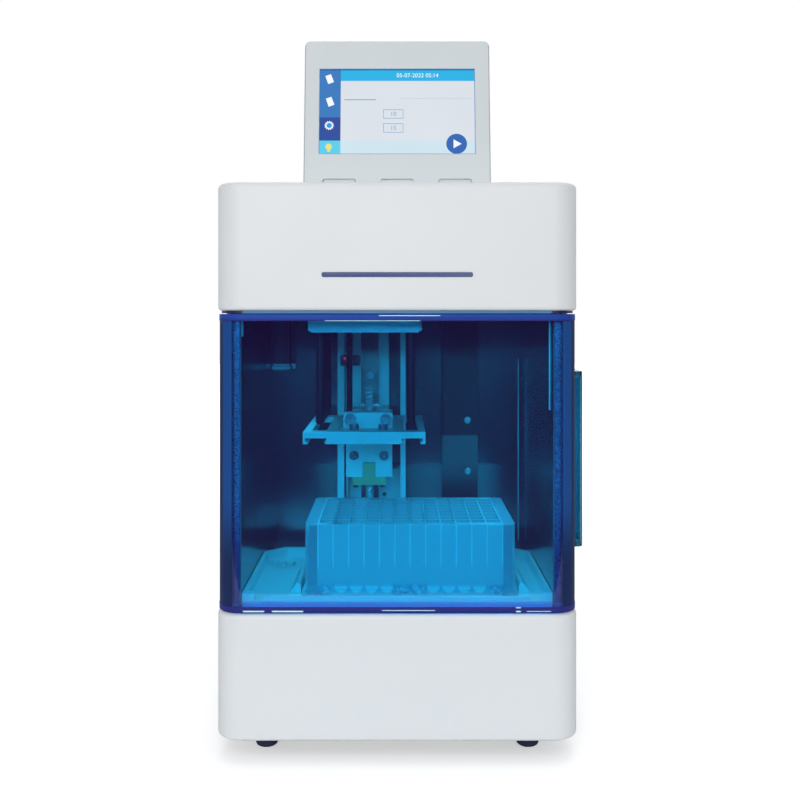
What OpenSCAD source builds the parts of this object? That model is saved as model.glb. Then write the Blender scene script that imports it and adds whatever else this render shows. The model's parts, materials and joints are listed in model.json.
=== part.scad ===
// Bench-top nucleic acid extractor for sixteen samples.
// A magnet head and a comb head work above a 96 deep-well plate, in a steel
// chamber behind a hinged wrap-around door, with a tilting touch display on top.
// Frame: x to the right, y to the back, z up, in millimetres. The floor is z = 0.

/* [Casing] */
// width of the casing
body_w = 205; // [190:1:230]
// depth of the casing
body_d = 280; // [270:1:320]
// radius of the casing's upright corners
corner_r = 15; // [10:0.5:22]
// wall thickness of the casings
wall_t = 3; // [2.4:0.2:4]
// radius of the casing's long edges
edge_r = 3; // [1:0.5:3]
// height of the rubber feet
foot_h = 12; // [10:1:20]
// radius of the rubber feet
foot_r = 6.5; // [5:0.5:9]
// height of the lower casing
lower_h = 71; // [68:1:90]
// height of the open zone between the casings
zone_h = 169.8; // [169:0.2:185]
// height of the upper casing
upper_h = 72; // [70:1:90]
// length of the status light bar
status_w = 84.6; // [40:0.2:120]
// height of the status light bar
status_h = 2.8; // [2:0.2:6]

/* [Door] */
// thickness of the door
door_t = 3; // [2.4:0.2:3.4]
// how far the door reaches back from its front face
door_return = 40; // [38:0.5:41]
// height of the door's bottom rail
door_rail_low = 5.7; // [4:0.1:12]
// height of the door's top rail
door_rail_top = 3.9; // [3:0.1:12]
// radius of the hinge barrel
barrel_r = 3.3; // [3:0.1:3.4]
// radius of the hinge pins
hinge_pin_r = 1.5; // [1.2:0.1:1.8]
// length of hinge pin inside the barrel
hinge_pin_l = 12; // [8:1:20]
// height of the door handle
handle_h = 101.7; // [80:0.1:120]
// how far the handle stands out from the door
handle_out = 6.2; // [5.6:0.1:8]
// depth of the handle, front to back
handle_d = 36; // [30:1:40]

/* [Chamber] */
// space between the casing's side and the chamber's lining
side_gap = 13.5; // [12.5:0.1:14]
// thickness of the chamber's steel lining
lining_t = 1; // [0.8:0.1:1.2]
// height of the spill tray's rim above its underside
tray_h = 8.9; // [7:0.1:12]
// how far the spill tray reaches behind the plate
tray_back = 9.8; // [8:0.1:11]
// thickness of the spill tray's floor
tray_floor = 2.5; // [2:0.1:3]
// thickness of the spill tray's rim
tray_wall = 2.4; // [1.6:0.2:3]

/* [Deep-well plate] */
// length of the plate's skirt
plate_l = 127.76; // [127.5:0.01:128]
// width of the plate's skirt
plate_w = 85.48; // [85.2:0.01:85.7]
// height of the plate
plate_h = 42.4; // [40:0.1:42.4]
// pitch of the wells
well_pitch = 9; // [8.8:0.05:9]
// width of a well
well_side = 8.2; // [7.6:0.1:8.4]
// depth of a well
well_depth = 38; // [34:0.5:38]

/* [Comb head] */
// width of the comb bracket
bracket_w = 71.2; // [70:0.2:74]
// depth of the comb bracket, front to back
bracket_d = 91.5; // [88:0.5:91.5]
// thickness of the comb bracket's middle
bracket_t = 7; // [6.6:0.1:8]
// thickness of the comb bracket's wings
wing_t = 3.6; // [3:0.1:3.8]
// width of the slider that carries the bracket
slider_w = 31; // [30:0.5:33]
// lead of the lift screws for one turn
screw_lead = 8; // [2:1:8]
// radius of the comb lift screw
comb_screw_r = 3; // [2.5:0.1:3]

/* [Magnet head] */
// width of the magnet holder
holder_w = 63; // [62.6:0.1:65]
// height of the magnet holder
holder_h = 10; // [8:0.5:10]
// radius of a magnet rod
rod_r = 2.5; // [2:0.1:2.8]
// length of a magnet rod below the holder
rod_l = 54.7; // [50:0.1:56]
// radius of the black magnet lift screw
lift_r = 2; // [1.6:0.1:2.2]

/* [Display] */
// width of the display
display_w = 113; // [108:1:130]
// height of the display above its hinge line
display_h = 88.8; // [84:0.2:110]
// thickness of the display
display_t = 14; // [13:0.5:18]
// lean of the display when it is left alone
display_lean = 7.5; // [0:0.5:12]
// width of the screen
screen_w = 95.04; // [90:0.1:98]
// height of the screen
screen_h = 53.86; // [50:0.1:58]

/* [Hidden] */
$fn = 48;
e = 0.01;

// heights of the casing
deck_z = foot_h + lower_h;
roof_z = deck_z + zone_h;
top_z = roof_z + upper_h;
front_y = -body_d / 2;
back_y = body_d / 2;
half_w = body_w / 2;
liner_x = half_w - wall_t;

// door and the posts it closes around
door_x = half_w - 1;
door_y = front_y + 0.8;
door_z0 = deck_z + 0.4;
door_z1 = roof_z - 1.9;
door_back = door_y + door_return;
rail_t = 1.2;
hinge_x = -(half_w - 3.6);
hinge_y = front_y + 38;
pin_gap = 0.05;
post_x = half_w - 8.3;
post_y = front_y + 6.5;
step_y = front_y + 42.5;
lin_x = half_w - side_gap;
lin_y0 = front_y + 13;
lin_y1 = front_y + 147.5;

duct_x = lin_x - 44.5;
duct_screw_x = duct_x + 5.5;
duct_screw_z = [deck_z + 92.6, deck_z + 56.5];

// cable openings behind the chamber, in the deck and in the ceiling
cable_w = 90;
cable_d = 40;
cable_deck_y = back_y - 80;
cable_ceiling_y = back_y - 70;

// bar of white light under the ceiling's front edge
light_x = 0.4;
light_d = 6;
light_h = 2.6;

// ceiling sheet of the chamber, floor of the upper casing
ceil_t = 1.6;
ceil_z = roof_z + ceil_t;

// tray and plate
tray_x = lin_x - 0.4;
tray_y0 = lin_y0;
floor_z = deck_z + tray_floor;
plate_x = 7.6;
plate_y = front_y + 66.5;
plate_end = plate_y + plate_w / 2;
tray_d = plate_end + tray_back - tray_y0;
plate_z1 = floor_z + plate_h;
body_l = plate_l - 4.8;
body_b = plate_w - 4.5;
skirt_h = 6;
hollow_h = 2.6;

// spring clips at the plate's ends
clip_gap = 0.4;
clip_w = 6.2;
clip_h = skirt_h + 0.5;
clip_l = plate_w / 2 + 0.26;

// head column and its rail
head_x = -18.8;
col_drop = 47;
col_z0 = deck_z - col_drop;
col_z1 = top_z - 10;
col_y = front_y + 139;
col_t = 3;
rail_w = 12;
rail_h = 8;
rail_z0 = deck_z + 21;
rail_z1 = col_z1 - 16;
block_w = 27;
block_h = 10;
block_l = 34.7;
rail_gap = 0.05;
slider_y = col_y - 13;

// comb head
bracket_z1 = deck_z + 99.3;
bracket_z0 = bracket_z1 - bracket_t;
bracket_y0 = front_y + 22;
bracket_y1 = bracket_y0 + bracket_d;
channel_x = 27;
slider_z0 = deck_z + 58;
slider_z1 = deck_z + 102;
slider_d = 16;
slider_front = slider_y - slider_d;
block_z = deck_z + 69.8;
screw_y = slider_y - 5.5;
screw_top = deck_z + 114.4;
clamp_x = head_x + 1;
clamp_y = bracket_y0 + 31.5;
clamp_z = bracket_z1 + 8;
motor_w = 20;
motor_h = 32;

// magnet head
holder_z0 = roof_z - 12.7;
holder_z1 = holder_z0 + holder_h;
holder_y0 = front_y + 22;
holder_d = 80;
lift_x = head_x - 11.3;
lift_y = front_y + 74;
mag_block_z = block_z + block_l + 54;
mag_travel = 52;
comb_travel = 43;

// x drive in the upper casing
beam_y = col_y + col_t + 13;
beam_t = 15;
beam_l = body_w - 15;
beam_z1 = top_z - 29;
x_rail_z = ceil_z + 22;
x_screw_z = top_z - 17;
x_screw_y = beam_y + 8;
x_travel = 48.9;
screw_end = half_w - 25.5;

// sockets in the back of the lower casing
inlet_x = -46;
rocker_x = -18;
usb_x = 45;
socket_z = foot_h + 31;

// power supply and main board, side by side on the base plate
supply_x0 = -half_w + 16;
supply_x1 = 10.5;
board_x0 = supply_x1 + 5.5;
board_x1 = half_w - 10.5;
board_w = board_x1 - board_x0;

// display hinge line
tilt_y = front_y + 47.5;
tilt_z = top_z + 5.1;
knuckle_r = 4.2;
knuckle_w = 19.4;
knuckle_step = 35;
knuckle_gap = 0.35;
tab_top = 1.8;
tilt_pin_r = 1.25;
face_out = 5;

// fan
fan_z = deck_z + 95;
fan_r = 24;
fan_t = 15;

// side profile of a slab with a corner radius r, rounded at its top and bottom edge
module slab_edge(r, h, te, be) {
    difference() {
        square([r, h]);
        if (te > 0) {
            translate([r - te, h - te]) difference() {
                square([te + 1, te + 1]);
                circle(te);
            }
        }
        if (be > 0) {
            translate([r - be, be]) difference() {
                translate([0, -be - 1]) square([be + 1, be + 1]);
                circle(be);
            }
        }
    }
}

// slab w by d by h standing on z = 0, corners r, edges te at the top and be at the bottom
module slab(w, d, h, r, te, be) {
    iw = w / 2 - r;
    id = d / 2 - r;
    for (c = [[iw, id, 0], [-iw, id, 90], [-iw, -id, 180], [iw, -id, 270]]) {
        translate([c[0], c[1], 0]) rotate([0, 0, c[2]])
            rotate_extrude(angle = 90) slab_edge(r, h, te, be);
    }
    for (s = [0, 180]) {
        rotate([0, 0, s]) translate([iw, id, 0]) rotate([90, 0, 0])
            linear_extrude(2 * id) slab_edge(r, h, te, be);
        rotate([0, 0, s]) translate([-iw, id, 0]) rotate([90, 0, 90])
            linear_extrude(2 * iw) slab_edge(r, h, te, be);
    }
    translate([-iw, -id, 0]) cube([2 * iw, 2 * id, h]);
}

// rectangle from x0, y0 to x1, y1
module rect(x0, y0, x1, y1) {
    translate([x0, y0]) square([x1 - x0, y1 - y0]);
}

// box from one corner to the other
module block(x0, y0, z0, x1, y1, z1) {
    translate([x0, y0, z0]) cube([x1 - x0, y1 - y0, z1 - z0]);
}

// rectangle w by d with rounded corners, centred
module soft_rect(w, d, r) {
    difference() {
        square([w, d], center = true);
        for (sx = [-1, 1]) for (sy = [-1, 1]) {
            translate([sx * (w / 2 - r), sy * (d / 2 - r)]) difference() {
                rect(min(0, sx * (r + 1)), min(0, sy * (r + 1)), max(0, sx * (r + 1)), max(0, sy * (r + 1)));
                circle(r);
            }
        }
    }
}

// plate w by h with rounded corners, upright, its front at y0 and its back at y1
module soft_panel(w, h, r, y0, y1) {
    translate([0, y1, 0]) rotate([90, 0, 0]) linear_extrude(y1 - y0) soft_rect(w, h, r);
}

// upright cylinder from z0 to z1
module post(x, y, z0, z1, r) {
    translate([x, y, z0]) cylinder(h = z1 - z0, r = r);
}

// cylinder along y from y0 to y1
module along_y(x, z, y0, y1, r) {
    translate([x, y1, z]) rotate([90, 0, 0]) cylinder(h = y1 - y0, r = r);
}

// cylinder along x from x0 to x1
module along_x(y, z, x0, x1, r) {
    translate([x0, y, z]) rotate([0, 90, 0]) cylinder(h = x1 - x0, r = r);
}

// cap screw head with a hexagon socket, its face towards the front at y0
module cap_head(x, z, y0, r, t) {
    difference() {
        along_y(x, z, y0, y0 + t, r);
        translate([x, y0 + t * 0.6, z]) rotate([90, 0, 0]) cylinder(h = t, r = r * 0.5, $fn = 6);
    }
}

module base_plate() {
    color("silver") difference() {
        translate([0, 0, foot_h]) slab(body_w - 2 * wall_t, body_d - 2 * wall_t, 2, corner_r - wall_t, 0, 0);
        for (i = [-5:5]) {
            translate([i * 9, back_y - 100, foot_h - 1]) linear_extrude(4) soft_rect(4, 46, 1.9);
        }
    }
}

module lower_casing() {
    color("white") difference() {
        translate([0, 0, foot_h]) slab(body_w, body_d, lower_h, corner_r, edge_r, 2);
        translate([0, 0, foot_h - 1])
            slab(body_w - 2 * wall_t, body_d - 2 * wall_t, lower_h - wall_t + 1, corner_r - wall_t, 1, 0);
        // cable opening in the deck behind the chamber
        translate([0, cable_deck_y, deck_z - 5]) linear_extrude(10) soft_rect(cable_w, cable_d, 6);
        // slot that the foot of the head column travels in
        block(head_x - 26, col_y - 26.5, deck_z - 5, head_x + x_travel + 28, col_y + col_t + 1.5, deck_z + 1);
        // socket openings at the back
        translate([inlet_x, 0, socket_z]) soft_panel(27.4, 20.4, 3, back_y - 5, back_y + 1);
        translate([rocker_x, 0, socket_z]) soft_panel(13.4, 20.4, 1, back_y - 5, back_y + 1);
        block(usb_x - 7.2, back_y - 5, socket_z - 3.8, usb_x + 7.2, back_y + 1, socket_z + 3.8);
        // hinge pin hole in the deck
        post(hinge_x, hinge_y, deck_z - 5, deck_z + 1, hinge_pin_r);
        // side vents
        for (i = [0:7]) {
            translate([0, back_y - 120 + i * 9, foot_h + 36]) rotate([0, 90, 0])
                translate([0, 0, -half_w - 1]) linear_extrude(body_w + 2) soft_rect(30, 3.4, 1.6);
        }
    }
}

// plan of the rear casing: a U of wall, stepping in to the two door posts
module rear_plan() {
    difference() {
        soft_rect(body_w, body_d, corner_r);
        soft_rect(body_w - 2 * wall_t, body_d - 2 * wall_t, corner_r - wall_t);
        rect(-half_w - 1, front_y - 1, half_w + 1, step_y);
    }
    for (s = [0, 1]) mirror([s, 0]) {
        difference() {
            rect(lin_x + lining_t, step_y, liner_x + 0.5, step_y + wall_t);
            translate([half_w - 2, step_y + 2]) difference() {
                rect(0, -3, 3, 0);
                circle(2);
            }
        }
        // post with a rounded outer corner
        difference() {
            rect(lin_x + lining_t, post_y, post_x, step_y + wall_t);
            translate([post_x - 3.2, post_y + 3.2]) difference() {
                rect(0, -4.2, 4.2, 0);
                circle(3.2);
            }
        }
        rect(lin_x, post_y, lin_x + lining_t + e, lin_y0);
    }
}

module rear_casing() {
    color("white") difference() {
        translate([0, 0, deck_z]) linear_extrude(zone_h) rear_plan();
        // exhaust opening of the fan
        along_y(0, fan_z, back_y - wall_t - 1, back_y + 1, fan_r);
        // fan screw holes
        for (sx = [-1, 1]) for (sz = [-1, 1])
            along_y(sx * 20.5, fan_z + sz * 20.5, back_y - wall_t - 1, back_y + 1, 1.5);
    }
}

module upper_casing() {
    color("white") difference() {
        translate([0, 0, roof_z]) slab(body_w, body_d, upper_h, corner_r, edge_r, 2);
        translate([0, 0, roof_z - 1])
            slab(body_w - 2 * wall_t, body_d - 2 * wall_t, upper_h - wall_t + 1, corner_r - wall_t, 1, 0);
        translate([0, 0, roof_z + 20.1]) soft_panel(status_w, status_h, 1, front_y - 1, front_y + wall_t + 1);
        // cable hole to the display
        post(0, tilt_y + 14, top_z - 5, top_z + 1, 4);
        // hole of the upper hinge pin
        post(hinge_x, hinge_y, roof_z - 1, roof_z + 2, hinge_pin_r);
    }
}

module status_light_bar() {
    color("navy") translate([0, 0, roof_z + 20.1]) {
        soft_panel(status_w, status_h, 1, front_y + 0.2, front_y + wall_t);
        soft_panel(status_w + 6, status_h + 6, 1, front_y + wall_t, front_y + wall_t + 2);
    }
}

module rubber_feet() {
    color("midnightblue") for (sx = [-1, 1]) for (sy = [-1, 1]) {
        translate([sx * (half_w - 26.5), sy * (body_d / 2 - 25), 0]) rotate_extrude() slab_edge(foot_r, foot_h, 1, 2);
    }
}

module casing_screws() {
    color("silver") {
        for (sx = [-1, 1]) for (sz = [-1, 1])
            along_y(sx * 20.5, fan_z + sz * 20.5, back_y - wall_t, back_y, 1.5);
        for (sx = [-1, 1]) for (sz = [-1, 1])
            translate([sx * 20.5, back_y, fan_z + sz * 20.5]) rotate([-90, 0, 0])
                rotate_extrude() slab_edge(2.8, 1.6, 1, 0);
    }
}

module chamber_back_panel() {
    color("steelblue") block(-lin_x - lining_t, lin_y1, deck_z, lin_x + lining_t, lin_y1 + lining_t, roof_z);
}

module chamber_side_panel() {
    block(lin_x, lin_y0, deck_z, lin_x + lining_t, lin_y1, roof_z);
}

module chamber_right_panel() {
    color("steelblue") chamber_side_panel();
}

module chamber_left_panel() {
    color("steelblue") mirror([1, 0, 0]) chamber_side_panel();
}

module chamber_ceiling() {
    color("silver") difference() {
        translate([0, 0, roof_z]) slab(body_w - 2 * wall_t, body_d - 2 * wall_t, ceil_t, corner_r - wall_t, 0, 0);
        // opening that the head column and the magnet head travel in
        block(head_x - 26, lift_y - 14, roof_z - 1, head_x + x_travel + 28, col_y + col_t + 1.5, ceil_z + 1);
        // cable opening behind the chamber
        translate([0, cable_ceiling_y, roof_z - 1]) linear_extrude(4) soft_rect(cable_w, cable_d, 6);
        post(hinge_x, hinge_y, roof_z - 1, ceil_z + 1, hinge_pin_r);
    }
}

// plan of the tray's outline, inset by a margin m
module tray_plan(m) {
    x1 = tray_x - m;
    y0 = tray_y0 + m;
    y1 = tray_y0 + tray_d - m;
    polygon([[-x1, y0], [x1, y0], [x1, y1 - 12], [x1 - 12, y1], [-x1 + 12, y1], [-x1, y1 - 12]]);
}

// bay in the tray's back edge for the head column, grown by a margin m
module tray_bay(m) {
    rect(head_x - 28 - m, plate_end + 3.2 - m, head_x + x_travel + 30 + m, tray_y0 + tray_d + 1);
}

module spill_tray() {
    color("deepskyblue") difference() {
        translate([0, 0, deck_z]) linear_extrude(tray_h) difference() {
            tray_plan(0);
            tray_bay(0);
        }
        translate([0, 0, floor_z]) linear_extrude(tray_h) difference() {
            tray_plan(tray_wall);
            tray_bay(tray_wall);
        }
        // low front lip with two finger notches
        block(-tray_x + 8, tray_y0 - 1, deck_z + 6.4, tray_x - 8, tray_y0 + tray_wall + 1, deck_z + tray_h + 1);
        for (s = [-1, 1]) along_y(s * (tray_x - 9.6), deck_z + 6.4, tray_y0 - 1, tray_y0 + tray_wall + 1, 3);
        // drain slots
        for (i = [0:2]) translate([-tray_x + 8.6 + i * 6, plate_end - 9, deck_z - 1]) linear_extrude(5) soft_rect(2, 10, 0.9);
    }
}

module heater_block() {
    color("silver") translate([plate_x, plate_y, floor_z])
        slab(plate_l - 14, plate_w - 14, hollow_h - 0.6, 3, 0.4, 0);
}

module plate_clips() {
    color("deepskyblue") for (s = [-1, 1]) translate([plate_x, 0, floor_z]) mirror([s < 0 ? 1 : 0, 0, 0])
        translate([plate_l / 2 + clip_gap, plate_y + 9.5, 0]) rotate([90, 0, 0]) linear_extrude(clip_l)
            polygon([[0, 0], [clip_w, 0], [clip_w, 1.6], [clip_w * 0.467, clip_h], [clip_w * 0.156, clip_h],
                [0, clip_h - 1.9]]);
}

module cable_duct() {
    color("steelblue") difference() {
        block(duct_x - 12.5, lin_y1 - 4, floor_z + 6, duct_x + 12.5, lin_y1, roof_z);
        for (z = duct_screw_z) along_y(duct_screw_x, z, lin_y1 - 5, lin_y1 + 1, 1.5);
    }
}

module duct_screws() {
    color("silver") for (z = duct_screw_z) {
        along_y(duct_screw_x, z, lin_y1 - 4, lin_y1, 1.5);
        translate([duct_screw_x, lin_y1 - 4, z]) rotate([90, 0, 0]) rotate_extrude() slab_edge(2.6, 1.4, 1, 0);
    }
}

module uv_lamp() {
    color("lightcyan") {
        post(-lin_x + 9, lin_y1 - 15.5, roof_z - 38, roof_z - 2, 6.5);
        post(-lin_x + 9, lin_y1 - 15.5, roof_z - 41, roof_z - 38, 7.2);
    }
}

module uv_lamp_holder() {
    color("silver") {
        block(-lin_x + 1, lin_y1 - 23.1, roof_z - 2, -lin_x + 17, lin_y1, roof_z);
        block(-lin_x + 1, lin_y1 - 1.5, roof_z - 41, -lin_x + 17, lin_y1, roof_z - 2);
    }
}

module interior_light_bar() {
    color("white") block(light_x - lin_x, lin_y0 + 1, roof_z - light_h, lin_x - light_x, lin_y0 + 1 + light_d, roof_z);
}

module x_beam() {
    color("silver") difference() {
        block(-beam_l / 2, beam_y, ceil_z, beam_l / 2, beam_y + beam_t, beam_z1);
        for (i = [-3:3]) along_y(i * 25, x_rail_z, beam_y - 1, beam_y + beam_t + 1, 1.7);
    }
    // bearing block at the end of the screw
    color("silver") difference() {
        block(-screw_end - 1, beam_y, beam_z1, -screw_end + 9, beam_y + beam_t, x_screw_z + 8);
        along_x(x_screw_y, x_screw_z, -screw_end - 2, -screw_end + 10, 2 + pin_gap);
    }
}

module x_rail() {
    color("lightgray") difference() {
        block(-half_w + 17.5, beam_y - rail_h, x_rail_z - rail_w / 2, half_w - 17.5, beam_y, x_rail_z + rail_w / 2);
        for (i = [-3:3]) along_y(i * 25, x_rail_z, beam_y - rail_h - 1, beam_y - rail_h + 3.5, 3);
    }
}

module x_motor() {
    color("dimgray") difference() {
        block(screw_end - 17, beam_y, beam_z1, screw_end + 15, beam_y + beam_t + 3, x_screw_z + 10);
        along_x(x_screw_y, x_screw_z, screw_end - 18, screw_end - 9, 2 + pin_gap);
    }
}

module x_screw() {
    color("silver") {
        along_x(x_screw_y, x_screw_z, -screw_end + 10, screw_end - 18, 2.5);
        along_x(x_screw_y, x_screw_z, -screw_end, -screw_end + 10, 2);
        along_x(x_screw_y, x_screw_z, screw_end - 18, screw_end - 10, 2);
    }
}

module power_supply() {
    color("silver") translate([(supply_x0 + supply_x1) / 2, back_y - 100, foot_h + 2]) difference() {
        slab(supply_x1 - supply_x0, 130, 14, 2, 1, 0);
        for (i = [-4:4]) translate([i * 9, 0, 11]) linear_extrude(5) soft_rect(4, 90, 1.9);
    }
}

module main_board() {
    color("darkgreen") {
        translate([(board_x0 + board_x1) / 2, back_y - 100, foot_h]) {
            block(-board_w / 2, -60, 8, board_w / 2, 60, 9.6);
            for (s = [-1, 1]) for (y = [-54, 54]) post(s * (board_w / 2 - 6), y, 2, 8, 2.5);
            block(-24, -30, 9.6, -8, -14, 11);
            block(6, -30, 9.6, 18, -18, 11);
            block(8 - board_w / 2, 30, 9.6, 0, 37, 17);
            block(6, 30, 9.6, board_w / 2 - 8, 37, 17);
            for (i = [0:3]) post(-24 + i * 12, 10, 9.6, 19, 3.5);
        }
    }
}

module fan_frame() {
    color("dimgray") translate([0, back_y - wall_t, fan_z]) rotate([90, 0, 0]) {
        difference() {
            linear_extrude(fan_t) soft_rect(50, 50, 4);
            translate([0, 0, -1]) cylinder(h = fan_t + 2, r = fan_r);
            for (sx = [-1, 1]) for (sy = [-1, 1])
                translate([sx * 20.5, sy * 20.5, -1]) cylinder(h = fan_t + 2, r = 1.5);
        }
        // motor seat on three arms, on the chamber side
        translate([0, 0, fan_t - 2.5]) cylinder(h = 2.5, r = 9);
        for (a = [30, 150, 270]) rotate([0, 0, a])
            translate([8, -1.5, fan_t - 2.5]) cube([fan_r - 7.5, 3, 2.5]);
        translate([0, 0, 3]) cylinder(h = fan_t - 5, r = 1.5);
    }
}

module fan_impeller() {
    color("black") translate([0, back_y - wall_t, fan_z]) rotate([90, 0, 0]) difference() {
        union() {
            translate([0, 0, 1.5]) cylinder(h = fan_t - 5, r = 9);
            for (a = [0:51.5:309]) rotate([0, 0, a]) translate([8.4, 0, 6.5]) rotate([35, 0, 0])
                translate([0, -0.7, -4.5]) cube([14.4, 1.4, 9]);
        }
        translate([0, 0, 2.5]) cylinder(h = fan_t, r = 1.55);
    }
}

module fan_guard() {
    color("silver") translate([0, back_y + 1.6, fan_z]) rotate([90, 0, 0]) {
        difference() {
            union() {
                for (r = [7, 13, 19, 25]) rotate_extrude() translate([r, 0]) square([1.4, 1.6]);
                for (a = [0:60:179]) rotate([0, 0, a]) translate([-26, -0.7, 0]) cube([52, 1.4, 1.6]);
                for (a = [45:90:359]) rotate([0, 0, a]) translate([25.5, -4.4, 0]) cube([7.6, 8.8, 1.6]);
            }
            for (sx = [-1, 1]) for (sy = [-1, 1]) translate([sx * 20.5, sy * 20.5, -1]) cylinder(h = 4, r = 2.9);
        }
    }
}

module power_inlet() {
    color("black") translate([inlet_x, 0, socket_z]) {
        difference() {
            union() {
                soft_panel(27, 20, 2.8, back_y - 18, back_y);
                soft_panel(31, 24, 3, back_y, back_y + 2.4);
            }
            soft_panel(23, 16, 2, back_y - 14, back_y + 3);
        }
        for (p = [[-7, -2], [0, 3], [7, -2]])
            block(p[0] - 1, back_y - 14.5, p[1] - 2, p[0] + 1, back_y - 1, p[1] + 2);
    }
    // frame of the rocker switch, with the pin the rocker turns on
    color("black") translate([rocker_x, 0, socket_z]) {
        difference() {
            soft_panel(13, 20, 1, back_y - 12, back_y + 1);
            soft_panel(11.4, 18, 0.5, back_y - 9, back_y + 2);
        }
        along_x(back_y + 0.4, 0, -6, 6, 1.5);
    }
}

module power_rocker() {
    // the rocker turns on a pin across its housing
    color("darkred") translate([rocker_x, back_y + 0.4, socket_z]) difference() {
        union() {
            rotate([0, 90, 0]) translate([0, 0, -5.5]) cylinder(h = 11, r = 3.5);
            rotate([0, 90, 0]) translate([0, 0, -5.5]) linear_extrude(11)
                polygon([[-8.6, 3], [8.6, 1.6], [8.6, 0], [0, -3], [-8.6, 0]]);
        }
        rotate([0, 90, 0]) translate([0, 0, -7]) cylinder(h = 14, r = 1.55);
    }
}

module usb_port() {
    color("silver") difference() {
        block(usb_x - 7, back_y - 16, socket_z - 3.6, usb_x + 7, back_y + 0.4, socket_z + 3.6);
        block(usb_x - 6.4, back_y - 12, socket_z - 3, usb_x + 6.4, back_y + 1, socket_z + 3);
    }
}

module display_hinge_base() {
    color("whitesmoke") for (i = [-1:1]) translate([i * knuckle_step, 0, 0]) {
        along_x(tilt_y, tilt_z, -knuckle_w / 2, knuckle_w / 2, knuckle_r);
        block(-knuckle_w / 2, tilt_y - knuckle_r, top_z, knuckle_w / 2, tilt_y + knuckle_r, tilt_z);
    }
    // pin through all three knuckles
    color("silver") along_x(tilt_y, tilt_z, -knuckle_step - 9, knuckle_step + 9, tilt_pin_r);
}

module door_hinge_pins() {
    color("silver") {
        post(hinge_x, hinge_y, deck_z - wall_t, door_z0 + hinge_pin_l, hinge_pin_r);
        post(hinge_x, hinge_y, door_z1 - hinge_pin_l, roof_z + 2, hinge_pin_r);
        post(hinge_x, hinge_y, deck_z, door_z0 - 0.1, barrel_r);
        post(hinge_x, hinge_y, door_z1 + 0.1, roof_z, barrel_r);
    }
}

module door_catch() {
    color("silver") block(door_x - 5.5, step_y - 1.2, deck_z + 74, door_x - 0.5, step_y, deck_z + 94);
}

// plan of the door's wrap-around sheet, t thick
module door_plan(t) {
    difference() {
        translate([0, door_y + 100]) soft_rect(2 * door_x, 200, corner_r - 1);
        translate([0, door_y + 100]) soft_rect(2 * (door_x - t), 200 - 2 * t, corner_r - 1 - t);
        rect(-half_w, door_back, half_w, door_y + 201);
        rect(-half_w, hinge_y, 0, door_y + 201);
    }
}

module door_shell() {
    color("royalblue") difference() {
        union() {
            translate([0, 0, door_z0]) linear_extrude(door_z1 - door_z0) door_plan(door_t);
            translate([0, 0, door_z0]) linear_extrude(door_rail_low) door_plan(door_t + rail_t);
            translate([0, 0, door_z1 - door_rail_top]) linear_extrude(door_rail_top) door_plan(door_t + rail_t);
            post(hinge_x, hinge_y, door_z0, door_z1, barrel_r);
        }
        post(hinge_x, hinge_y, door_z0 - 1, door_z0 + hinge_pin_l + 1, hinge_pin_r + pin_gap);
        post(hinge_x, hinge_y, door_z1 - hinge_pin_l - 1, door_z1 + 1, hinge_pin_r + pin_gap);
        block(door_x - 2.5, door_back - 5, deck_z + 72, door_x - 0.5, door_back + 1, deck_z + 96);
    }
}

module door_strike() {
    color("silver") block(door_x - 2.5, door_back - 5, deck_z + 72, door_x - 0.5, door_back, deck_z + 96);
}

module door_handle() {
    hx1 = door_x + handle_out;
    hy0 = door_back - 20.8;
    hy1 = hy0 + handle_d;
    z0 = deck_z + 33;
    z1 = z0 + handle_h;
    color("darkcyan") difference() {
        translate([0, 0, z0]) linear_extrude(handle_h) difference() {
            rect(door_x, hy0, hx1, hy1);
            translate([hx1 - 3, hy0 + 3]) difference() {
                rect(0, -4, 4, 0);
                circle(3);
            }
            translate([hx1 - 1.5, hy1 - 1.5]) difference() {
                rect(0, 0, 2, 2);
                circle(1.5);
            }
        }
        // hollow for the fingers, open at the back
        block(door_x, hy0 + 4, z0 + 3, hx1 - 1.6, hy1 + 1, z1 - 3);
        // room over the side of the casing
        block(door_x - 1, door_back, z0 - 1, half_w + 1.2, hy1 + 1, z1 + 1);
    }
}

// puts the display's own frame, origin on the hinge line, in place
module on_display() {
    translate([0, tilt_y, tilt_z]) rotate([-display_lean, 0, 0]) children();
}

// the display's whole outline, cut from y0 to y1 of its own frame
module display_body(y0, y1) {
    back = display_t - face_out;
    difference() {
        intersection() {
            translate([0, 0, (display_h - 4.6) / 2]) soft_panel(display_w, display_h + 4.6, 4, y0, y1);
            rotate([90, 0, 90]) translate([0, 0, -display_w]) linear_extrude(2 * display_w)
                polygon([[-face_out, -3.6], [-face_out + 1, -4.6], [0, -4.6], [back, 3],
                    [back, display_h - 2], [back - 2, display_h], [-face_out + 0.6, display_h],
                    [-face_out, display_h - 0.6]]);
        }
        for (i = [-1:1]) translate([i * knuckle_step, 0, 0]) {
            room = knuckle_w / 2 + knuckle_gap;
            // round bed of the knuckle, and the clear space behind it
            along_x(0, 0, -room, room, knuckle_r + knuckle_gap);
            block(-room, 0, -10, room, 20, knuckle_r + 0.6);
            // low window in the front with rounded corners
            translate([0, 0, (tab_top - 12) / 2]) soft_panel(2 * room, tab_top + 12, 1.4, -20, 0);
        }
        along_x(0, 0, -knuckle_step, knuckle_step, tilt_pin_r + pin_gap);
    }
}

module display_housing() {
    mid = 17.2 + screen_h / 2;
    color("lightgray") on_display() difference() {
        display_body(-face_out, display_t - face_out - 5);
        block(-screen_w / 2, -face_out - 1, mid - screen_h / 2, screen_w / 2, -1, mid + screen_h / 2);
        block(-50, -face_out + 3, mid - 31, 50, display_t, mid + 31);
    }
}

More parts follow.
